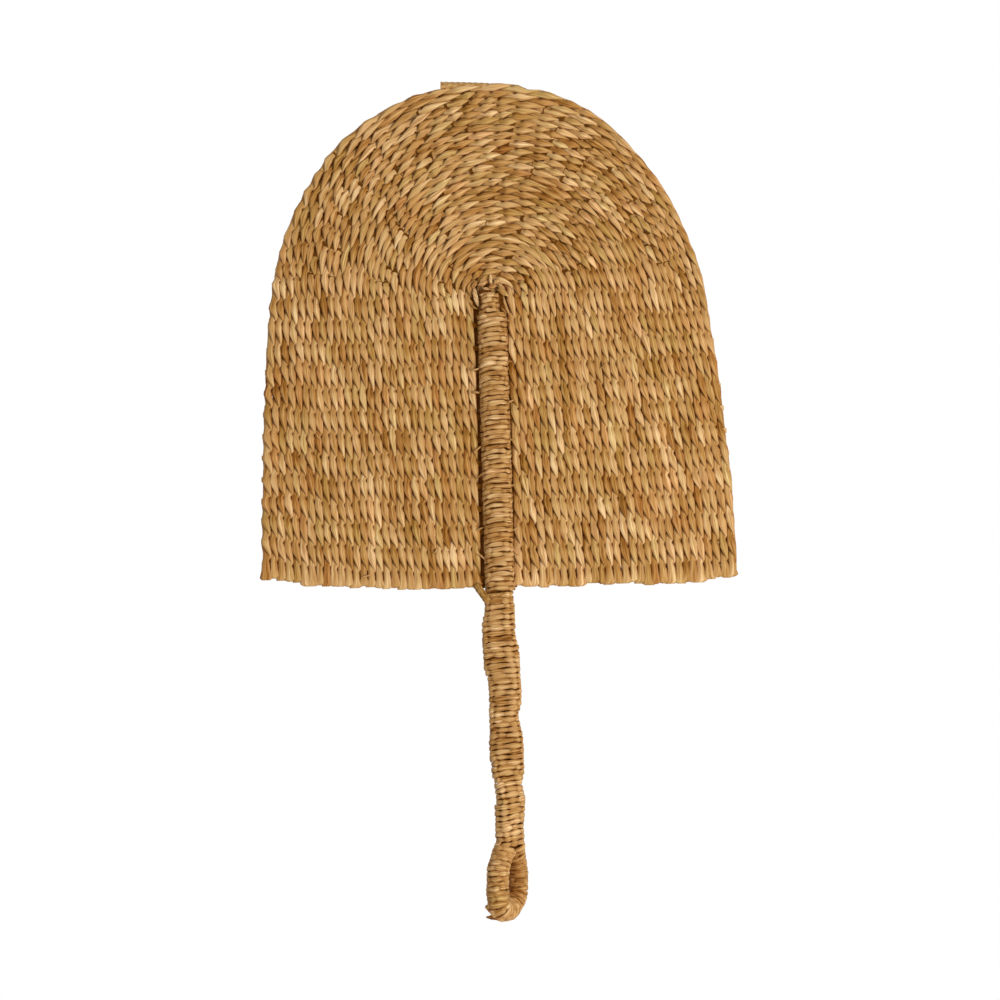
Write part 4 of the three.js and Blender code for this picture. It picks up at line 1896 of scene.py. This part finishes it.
    def winding(
        self,
        turns: int,
        steps: int,
        form: Callable[[float], Oval],
        looped: bool = False,
    ) -> Line:
        """Lays a winding's line.

        Args:
            turns: How many turns it has.
            steps: Steps in a turn.
            form: Gives the oval at a share of the winding.
            looped: Whether it goes round the loop, where its turns fan out and the rear leg's inner side
                gets painted shade.

        Returns:
            The line.
        """
        line = Line()
        for i in range(turns * steps + 1):
            share = i / (turns * steps)
            oval = form(share)
            bent = smooth(share, *self.bend_start) * (1 - smooth(share, *self.bend_end))
            line.add(
                oval.centre,
                turns=i / steps,
                wide=oval.wide,
                deep=oval.deep,
                course=oval.course,
                reach=oval.reach * MM,
                fan=self.bend_fan * bent if looped else 0.0,
                shade=smooth(share, *self.shade_span) if looped else 0.0,
            )
        return line

    def spine_form(self, share: float) -> Oval:
        """Gives the spine's oval.

        Args:
            share: The share of the winding, from its top down.

        Returns:
            The oval.
        """
        z = mix(self.hub - self.spine_drop, self.foot - self.spine_drop, share)
        below, above = self.single_span
        full = 1 - smooth(z, self.right_top + below, self.right_top + above)
        single = self.spine_width / 2 + self.single_slack
        half = mix(single, self.spine_width + self.leg_gap / 2 + self.spine_slack, full)
        middle = mix(self.single_shift, self.spine_shift, full)
        phase = 2 * math.pi * (z - self.stake_top) / self.stake_pitch
        bunch = self.bunch * math.sin(phase)
        centre = Vector((middle, self.spine_back, z))
        depth = self.spine_depth / 2 + self.lift + self.spine_back
        reach = Vector((half + self.lift, depth, bunch))
        return Oval(centre, Vector((1, 0, 0)), Vector((0, 1, 0)), Vector((0, 0, 1)), reach)

    def grip_form(self, share: float) -> Oval:
        """Gives the grip's oval.

        Args:
            share: The share of the winding, from the foot down.

        Returns:
            The oval.
        """
        z = mix(self.foot - self.grip_drop, self.neck - self.grip_end, share)
        turn, spread, half_width, half_depth = self.at(z)
        shift, grown = self.swelling(z)
        centre = Vector((self.sway(z) + shift, 0, z))
        wide = Vector((math.cos(turn), math.sin(turn), 0))
        deep = Vector((-math.sin(turn), math.cos(turn), 0))
        reach_wide = spread / 2 + half_width + self.lift + grown
        reach = Vector((reach_wide, half_depth + self.lift + grown * math.sin(turn), 0))
        return Oval(centre, wide, deep, Vector((0, 0, 1)), reach)

    def loop_form(self) -> Callable[[float], Oval]:
        """Prepares the form of the loop's winding.

        Returns:
            A function that gives the oval at a share of the bundle's bent part.
        """
        top = self.neck - self.loop_drop
        stations = [station for station in self.stations() if station.centre.z < top]
        lengths = lengths_along([station.centre for station in stations])

        def form(share: float) -> Oval:
            """Gives the bundle's oval.

            Args:
                share: The share of the bent part.

            Returns:
                The oval.
            """
            length = share * lengths[-1]
            place = min(max(bisect_right(lengths, length), 1), len(lengths) - 1)
            before, after = stations[place - 1], stations[place]
            part = (length - lengths[place - 1]) / (lengths[place] - lengths[place - 1])
            centre = before.centre.lerp(after.centre, part)
            earlier = stations[max(place - 3, 0)].centre
            later = stations[min(place + 2, len(stations) - 1)].centre
            course = (later - earlier).normalized()
            deep = before.back.lerp(after.back, part).normalized()
            wide = course.cross(deep).normalized()
            over = self.lift + self.loop_slack
            reach = Vector((before.half_width + over, before.half_depth + over, 0))
            return Oval(centre, wide, deep, course, reach)

        return form

    def build(self, wound: WoundTree, laid: LaidTree) -> None:
        """Makes the bundle and its windings.

        Args:
            wound: The tree for wound strands.
            laid: The tree for laid strands.
        """
        self.core(laid)
        material = self.wrap_finish.material()
        spine = wound.grow(
            "spine_winding",
            [self.winding(self.spine_turns, self.turn_steps, self.spine_form)],
            material,
            seed=3,
            sides=self.wrap_sides,
            Strand_width=1.6 * MM,
            Strand_thickness=0.9 * MM,
            Wander=1.2 * MM,
            Arch=1.2 * MM,
            Pinches=4.6,
            Pinch=0.15,
            Shuffle=2.4,
            Back_reach=3.2 * MM,
        )
        dress(spine, Slot.WRAP, "spine_wrap")
        grip = wound.grow(
            "grip_winding",
            [self.winding(self.grip_turns, self.turn_steps, self.grip_form)],
            material,
            seed=4,
            sides=self.wrap_sides,
            Strand_width=1.76 * MM,
            Strand_thickness=0.8 * MM,
        )
        dress(grip, Slot.WRAP, "grip_wrap")
        loop = wound.grow(
            "loop_winding",
            [self.winding(self.loop_turns, self.loop_steps, self.loop_form(), looped=True)],
            material,
            seed=6,
            sides=self.wrap_sides,
            Strand_width=1.8 * MM,
            Strand_thickness=1.05 * MM,
            Arch=0.0,
            Pinches=5.4,
            Pinch=0.13,
            Shuffle=2.0,
            Sink=0.4 * MM,
            Squareness=1.0,
        )
        dress(loop, Slot.WRAP, "loop_wrap")
        self.tie(laid, material)

    def tie(self, tree: LaidTree, material: bpy.types.Material) -> None:
        """Lays the neck's tie, from the left rows down and round the neck.

        Args:
            tree: The tree for laid strands.
            material: The tie's finish.
        """
        level = Vector((0, 0, self.foot))
        start = level + Vector(self.tie_top)
        end = level + Vector(self.tie_neck)
        places = [start.lerp(end, i / self.tie_lead) for i in range(self.tie_lead + 1)]
        faces = [Vector(self.tie_face).normalized()] * len(places)
        girths = [self.tie_lead_girth] * len(places) + [self.tie_girth] * self.tie_steps
        reach_wide = self.grip_width + self.leg_gap / 2 + self.tie_slack
        reach_deep = self.grip_depth / 2 + self.tie_slack
        for i in range(1, self.tie_steps + 1):
            angle = math.radians(self.tie_start + i * self.tie_step)
            face = Vector((math.cos(angle), math.sin(angle), 0))
            z = self.foot + self.tie_neck[2] + i * self.tie_rise
            places.append(Vector((face.x * reach_wide, face.y * reach_deep, z)))
            faces.append(face)
        line = strand_line(places, faces, 3.0, 0.0, self.tie_shade)
        line.numbers["girth"] = girths
        piece = tree.grow(
            "neck_strand",
            [line],
            material,
            seed=8,
            Strand_width=1.5 * MM,
            Strand_thickness=1.0 * MM,
        )
        dress(piece, Slot.WRAP, "neck_tie")


@dataclass(frozen=True)
class Wisp:
    """A single strand that lies in the panel's plane, in front of it or behind it.

    Attributes:
        start: Its start, x and z.
        end: Its end, x and z.
        depth: Its depth at its ends, y.
        rise: How far its middle comes forward.
        bend: How far its middle bends sideways in the panel's plane.
        girth: Its size against the usual strand.
        shade: How much darker it is than the others.
        taper: How much thinner its ends are.
        steps: Steps along it.
    """

    start: Span
    end: Span
    depth: float
    rise: float = 0.8
    bend: float = 0.0
    girth: float = 1.0
    shade: float = 0.0
    taper: float = 0.75
    steps: int = 8

    def line(self, thread: float) -> Line:
        """Lays the strand.

        Args:
            thread: The number that its tone is drawn from.

        Returns:
            The strand's line.
        """
        first = Vector((self.start[0], self.depth, self.start[1]))
        last = Vector((self.end[0], self.depth, self.end[1]))
        course = (last - first).normalized()
        side = course.cross(FRONT)
        places: list[Vector] = []
        for i in range(self.steps + 1):
            share = i / self.steps
            hump = 4 * share * (1 - share)
            forward = Vector((0, -self.rise * hump, 0))
            places.append(first.lerp(last, share) + forward + side * self.bend * hump)
        line = strand_line(places, [FRONT] * len(places), thread, self.taper, self.shade)
        line.numbers["girth"] = [girth * self.girth for girth in line.numbers["girth"]]
        return line


@dataclass
class LooseEnds:
    """The short strands: the knot at the hub, the rim's end, stitches beside the spine and stray scraps.

    Attributes:
        finish: Their finish.
        shaded_finish: The dark finish of the strands that lie behind, painted shade.
        panel: The panel that they lie on.
    """

    finish: Straw
    shaded_finish: Straw
    panel: Panel
    knot: tuple[Wisp, ...] = (
        Wisp((-9.0, 250.0), (-5.0, 261.0), 4.2, 0.5, 1.0, 1.7),
        Wisp((-6.0, 250.5), (4.0, 252.0), 4.0, 0.8, 3.0, 1.8),
        Wisp((-7.0, 254.5), (7.0, 256.0), 4.4, 0.8, 1.0, 1.8),
        Wisp((4.5, 261.0), (9.5, 252.0), 4.2, 0.5, 1.0, 1.6),
        Wisp((-5.0, 258.5), (5.0, 259.5), 4.4, 0.8, -1.0, 1.6),
        Wisp((-7.6, 257.4), (-1.2, 260.0), 1.6, 1.6, 0.4, 1.1),
        Wisp((0.6, 264.2), (0.9, 257.2), 1.4, 1.6, 0.3, 0.85),
        Wisp((2.2, 257.4), (6.2, 260.8), 1.4, 1.6, -0.3, 0.95),
        Wisp((5.2, 257.4), (11.2, 250.2), 1.4, 1.6, 0.6, 1.0),
        Wisp((4.2, 254.8), (8.4, 250.6), 0.6, 1.4, -0.4, 0.8, 0.1),
        Wisp((8.0, 250.4), (11.4, 239.0), 1.2, 1.4, 0.5, 0.6, 0.05),
        Wisp((6.4, 244.2), (9.6, 240.4), 0.8, 1.2, 0.5, 0.5, 0.05),
        Wisp((-6.4, 251.6), (2.8, 252.4), -1.6, 1.6, 0.3, 0.95),
        Wisp((-9.6, 256.6), (-7.0, 244.2), 1.4, 1.5, 0.4, 1.15),
        Wisp((-4.6, 255.8), (0.4, 253.8), 0.4, 1.8, 0.2, 1.0),
        Wisp((-1.4, 255.6), (4.2, 256.8), 0.6, 1.8, -0.3, 1.0),
        Wisp((-11.4, 255.6), (-7.8, 259.8), 1.2, 1.3, 0.2, 0.9),
        Wisp((-2.2, 262.8), (-5.8, 258.2), 1.3, 1.2, 0.3, 0.8),
        Wisp((-9.6, 241.0), (6.4, 244.0), 7.6, -1.0, 0.5, 1.3),
        Wisp((-6.2, 245.6), (9.8, 243.0), 7.8, -1.0, 0.4, 1.2, 0.1),
        Wisp((-10.0, 250.4), (8.6, 248.2), 7.6, -1.1, 0.6, 1.4),
        Wisp((-8.4, 252.6), (9.6, 254.4), 7.6, -1.0, -0.5, 1.3, 0.05),
        Wisp((-7.6, 258.6), (7.8, 257.2), 7.4, -0.9, 0.4, 1.4),
    )
    scraps: tuple[Wisp, ...] = (
        Wisp((-82.2, 84.2), (-75.6, 86.0), 0.5, 0.8, 0.2, 0.42),
        Wisp((-106.5, 171.5), (-103.5, 168.0), 1.2, 1.4, 1.0, 0.3),
        Wisp((-39.0, 97.4), (-36.2, 100.6), 1.2, 1.6, 0.8, 0.36),
        Wisp((64.0, 205.5), (68.0, 209.0), 1.2, 1.4, 0.9, 0.3),
        Wisp((-58.0, 301.0), (-54.0, 305.0), 1.2, 1.4, 0.6, 0.3),
        Wisp((31.0, 331.0), (36.5, 330.0), 1.2, 1.4, 0.5, 0.3),
        Wisp((-13.4, -114.6), (-3.0, -119.8), -8.6, 0.6, -0.8, 2.3, 0.05),
        Wisp((-13.0, -121.0), (-0.4, -122.0), -8.0, 0.8, -0.2, 1.2, 0.6),
    )
    # Dark strands behind the holes at the hub, finished as painted shade.
    hub_backing: tuple[Wisp, ...] = (
        Wisp((5.2, 233.0), (6.0, 259.0), 5.6, 0.4, 0.0, 2.6),
        Wisp((0.8, 235.0), (1.4, 263.0), 5.8, 0.4, 0.0, 2.8),
        Wisp((-5.4, 236.0), (-3.6, 262.0), 5.6, 0.4, 0.0, 2.6),
    )
    backing_across: Triple = (5.6, 0.8, -4.4)
    backing_levels: Span = (58.0, 242.0)
    backing_depth: float = 3.4
    backing_girth: float = 1.9
    edging_out: float = -0.012
    edging_depth: float = 1.6
    stitches: int = 7
    stitch_seed: int = 23
    stitch_drop: float = 18.0
    stitch_pitch: float = 1.75
    stitch_stray: float = 8.0
    stitch_slant: float = 5.0
    stitch_depths: Span = (-0.6, 0.8)
    stitch_rise: float = 0.6
    stitch_bend: float = 0.8
    stitch_girths: Span = (0.35, 0.6)
    stitch_shade: float = 0.1
    spine_half: float = 7.6
    row_edge: float = 12.6
    rim_steps: int = 40
    rim_outs: Span = (0.018, -0.013)
    rim_ways: Span = (0.897, 1.09)
    rim_girths: Span = (1.0, 0.35)
    rim_shade: float = -0.3
    stitch_thread: float = 40.0
    edging_thread: float = 60.0
    scrap_thread: float = 70.0
    rim_thread: float = 90.0
    backing_thread: float = 100.0
    thin_sides: int = 6

    def spine_backing(self) -> list[Wisp]:
        """Lays the strands inside the spine's winding, behind the bundle.

        Returns:
            The strands.
        """
        low, high = self.backing_levels
        return [
            Wisp((x, low), (x, high), self.backing_depth, rise=0.0, girth=self.backing_girth)
            for x in self.backing_across
        ]

    def stitch_lines(self) -> list[Line]:
        """Lays short stitches from the spine's sides to the rows beside it.

        Returns:
            One line for each stitch.
        """
        draw = random.Random(self.stitch_seed)
        lines: list[Line] = []
        for i in range(self.stitches):
            for side in (-1, 1):
                level = self.panel.hub - self.stitch_drop - i * self.panel.stake_pitch * self.stitch_pitch
                z = level + draw.uniform(-self.stitch_stray, self.stitch_stray)
                wisp = Wisp(
                    (side * self.spine_half, z),
                    (side * self.row_edge, z + draw.uniform(-self.stitch_slant, self.stitch_slant)),
                    draw.uniform(*self.stitch_depths),
                    self.stitch_rise,
                    draw.uniform(-self.stitch_bend, self.stitch_bend),
                    draw.uniform(*self.stitch_girths),
                    self.stitch_shade,
                )
                lines.append(wisp.line(self.stitch_thread + len(lines)))
        return lines

    def edging_line(self) -> Line:
        """Lays the strand behind the gap between the spine and the first row.

        Returns:
            Its line.
        """
        behind = Vector((0, self.edging_depth, 0))
        places = [self.panel.place(self.edging_out, way) + behind for way in self.panel.even_ways()]
        return strand_line(places, [FRONT] * len(places), self.edging_thread, 0.0)

    def rim_line(self) -> Line:
        """Lays the end of the last strand along the top of the rim.

        Returns:
            Its line.
        """
        shares = [i / self.rim_steps for i in range(self.rim_steps + 1)]
        places: list[Vector] = []
        for share in shares:
            out = 1 + mix(*self.rim_outs, 1 - (1 - share) ** 3)
            places.append(self.panel.place(out, mix(*self.rim_ways, share)))
        line = strand_line(places, [FRONT] * len(places), self.rim_thread, 0.0, self.rim_shade)
        line.numbers["girth"] = [mix(*self.rim_girths, share ** 2) for share in shares]
        return line

    def build(self, tree: LaidTree) -> None:
        """Lays all the short strands.

        Args:
            tree: The tree for laid strands.
        """
        material = self.finish.material()
        knot = [wisp.line(float(i)) for i, wisp in enumerate(self.knot)]
        dress(tree.grow("hub_knot", knot, material, seed=12), Slot.WRAP)
        stitches = tree.grow("spine_stitches", self.stitch_lines(), material, seed=14, sides=self.thin_sides)
        dress(stitches, Slot.WRAP)
        # The edging and backing strands, dark as painted shade, fill the gaps beside and above the spine.
        deep = self.shaded_finish.material()
        edging = tree.grow("spine_edging", [self.edging_line()], deep, seed=18, Strand_width=2.8 * MM)
        dress(edging, Slot.CORE)
        behind = [*self.hub_backing, *self.spine_backing()]
        backing = [wisp.line(self.backing_thread + i) for i, wisp in enumerate(behind)]
        dress(tree.grow("hub_backing", backing, deep, seed=19), Slot.CORE)
        scraps = [wisp.line(self.scrap_thread + i) for i, wisp in enumerate(self.scraps)]
        dress(tree.grow("loose_scraps", scraps, material, seed=15, sides=self.thin_sides), Slot.WEFT)
        rim = tree.grow(
            "rim_end",
            [self.rim_line()],
            material,
            seed=16,
            Strand_width=2.5 * MM,
            Strand_thickness=2.4 * MM,
        )
        dress(rim, Slot.WEFT)


@dataclass(frozen=True)
class Lamp:
    """A soft square lamp.

    Attributes:
        name: Its name.
        place: Where it hangs, in metres.
        size: Its side in metres.
        power: Its power in watts.
    """

    name: str
    place: Triple
    size: float
    power: float


@dataclass
class Studio:
    """The white studio: soft light, a pale floor and the camera.

    Attributes:
        aim: What the camera looks at, in metres.
        distance: How far it stands, in metres.
        lens: Its focal length.
        sensor: Width of its sensor.
        farthest: How far it sees, in metres.
        roll: Its tilt about its own axis in degrees.
        floor_level: The floor's level in metres.
        floor_radius: The floor's radius in metres.
        floor_sides: Sides of the floor's outline.
        floor_tone: The floor's colour.
        floor_roughness: The floor's roughness.
        floor_glow: Strength of the floor's own light, which keeps it pale.
        floor_fade: Shares of the radius where it begins to run out and where it is gone.
        sky: Strength of the light from all round.
        lamps: The lamps.
    """

    aim: Vector = field(default_factory=lambda: Vector((0.0024, 0.0, 0.1282)))
    distance: float = 2.5
    lens: float = 150.0
    sensor: float = 36.0
    farthest: float = 50.0
    roll: float = 1.64
    floor_level: float = -0.25
    floor_radius: float = 0.62
    floor_sides: int = 96
    floor_tone: Colour = (240, 240, 240)
    floor_roughness: float = 0.9
    floor_glow: float = 0.3
    floor_fade: Span = (0.25, 0.95)
    sky: float = 0.52
    lamps: tuple[Lamp, ...] = (
        Lamp("key", (1.2, -1.5, 0.05), 0.9, 32.0),
        Lamp("rear", (-1.1, 1.5, 1.3), 1.2, 9.0),
    )

    def camera(self) -> None:
        """Sets the camera square to the panel."""
        data = bpy.data.cameras.new("camera")
        data.lens = self.lens
        data.sensor_width = self.sensor
        data.clip_end = self.farthest
        camera = show("camera", data)
        camera.location = self.aim + Vector((0.0, -self.distance, 0.0))
        camera.rotation_euler = (math.pi / 2, math.radians(self.roll), 0.0)
        bpy.context.scene.camera = camera

    def hang(self, lamp: Lamp) -> None:
        """Hangs a lamp that faces the panel.

        Args:
            lamp: The lamp.
        """
        data = bpy.data.lights.new(lamp.name, "AREA")
        data.size = lamp.size
        data.energy = lamp.power
        hung = show(lamp.name, data)
        hung.location = lamp.place
        hung.rotation_mode = "QUATERNION"
        hung.rotation_quaternion = (self.aim - Vector(lamp.place)).to_track_quat("-Z", "Y")

    def world(self) -> None:
        """Lights from all round, and shows plain white behind the fan."""
        world = bpy.data.worlds.new("studio")
        bpy.context.scene.world = world
        world.use_nodes = True
        sheet = Sheet(world.node_tree)
        white = world.node_tree.nodes["Background"]
        white.inputs["Color"].default_value = linear(WHITE)
        white.inputs["Strength"].default_value = 1.0
        soft = sheet.node("ShaderNodeBackground", linear(WHITE), self.sky)
        choose = sheet.node("ShaderNodeMixShader", self.seen(sheet), soft.outputs[0], white.outputs[0])
        sheet.feed(world.node_tree.nodes["World Output"].inputs[0], choose.outputs[0])

    @staticmethod
    def seen(sheet: Sheet) -> Field:
        """Finds the rays that show the background itself.

        Args:
            sheet: The world's sheet.

        Returns:
            1 for such rays and 0 for the others.
        """
        path = sheet.node("ShaderNodeLightPath")
        names = ("Is Camera Ray", "Is Glossy Ray", "Is Transmission Ray")
        straight, mirrored, passing = (Field(sheet, path.outputs[name]) for name in names)
        return sheet.math("MAXIMUM", straight, sheet.math("MAXIMUM", mirrored, passing))

    def floor(self) -> None:
        """Lays a pale round floor that takes the shadow and runs out into white."""
        count = self.floor_sides
        corners = [(0.0, 0.0, self.floor_level)]
        for i in range(count):
            angle = 2 * math.pi * i / count
            corners.append((
                self.floor_radius * math.cos(angle),
                self.floor_radius * math.sin(angle),
                self.floor_level,
            ))
        mesh = bpy.data.meshes.new("floor")
        mesh.from_pydata(corners, [], [(0, i + 1, (i + 1) % count + 1) for i in range(count)])
        material, sheet, shader = start_finish("pale_floor")
        shader.inputs["Base Color"].default_value = linear(self.floor_tone)
        shader.inputs["Roughness"].default_value = self.floor_roughness
        shader.inputs["Emission Color"].default_value = linear(WHITE)
        shader.inputs["Emission Strength"].default_value = self.floor_glow
        place = sheet.node("ShaderNodeTexCoord")
        flat = sheet.stretch(Field(sheet, place.outputs["Object"], True), (1.0, 1.0, 0.0))
        reach = sheet.node("ShaderNodeVectorMath", flat, operation="LENGTH")
        start, end = (self.floor_radius * share for share in self.floor_fade)
        faded = sheet.soft_step(Field(sheet, reach.outputs["Value"]), start, end)
        clear = sheet.node("ShaderNodeBsdfTransparent")
        choose = sheet.node("ShaderNodeMixShader", faded, shader.outputs[0], clear.outputs[0])
        sheet.feed(material.node_tree.nodes["Material Output"].inputs[0], choose.outputs[0])
        mesh.materials.append(material)
        floor = show("floor", mesh)

    def build(self) -> None:
        """Sets up the whole studio."""
        bpy.context.scene.view_settings.view_transform = "Standard"
        self.camera()
        self.world()
        for lamp in self.lamps:
            self.hang(lamp)
        self.floor()


def main() -> None:
    """Builds the fan and its studio, and notes the sizes."""
    logging.basicConfig(level=logging.INFO, format="%(message)s")
    random.seed(7)
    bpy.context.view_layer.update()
    Studio().build()
    weft = Straw("weft_straw", WEFT_TONES)
    wrap = Straw("wrap_straw", WRAP_TONES, streak=0.9, ridge=0.5)
    core = Straw("shaded_core_straw", SHADED_CORE_TONES, gloss=0.04)
    laid = LaidTree()
    # The crown's rays are darker still, painted shade for the gaps between the crown's leaves.
    rays = Reed("ray_reed", dark=(72, 39, 7), pale=(110, 66, 17))
    panel = Panel(weft, Reed("stake_reed"), rays)
    panel.build(TwinedTree())
    Handle(core, wrap).build(WoundTree(), laid)
    LooseEnds(wrap, core, panel).build(laid)


if __name__ == "__main__":
    main()
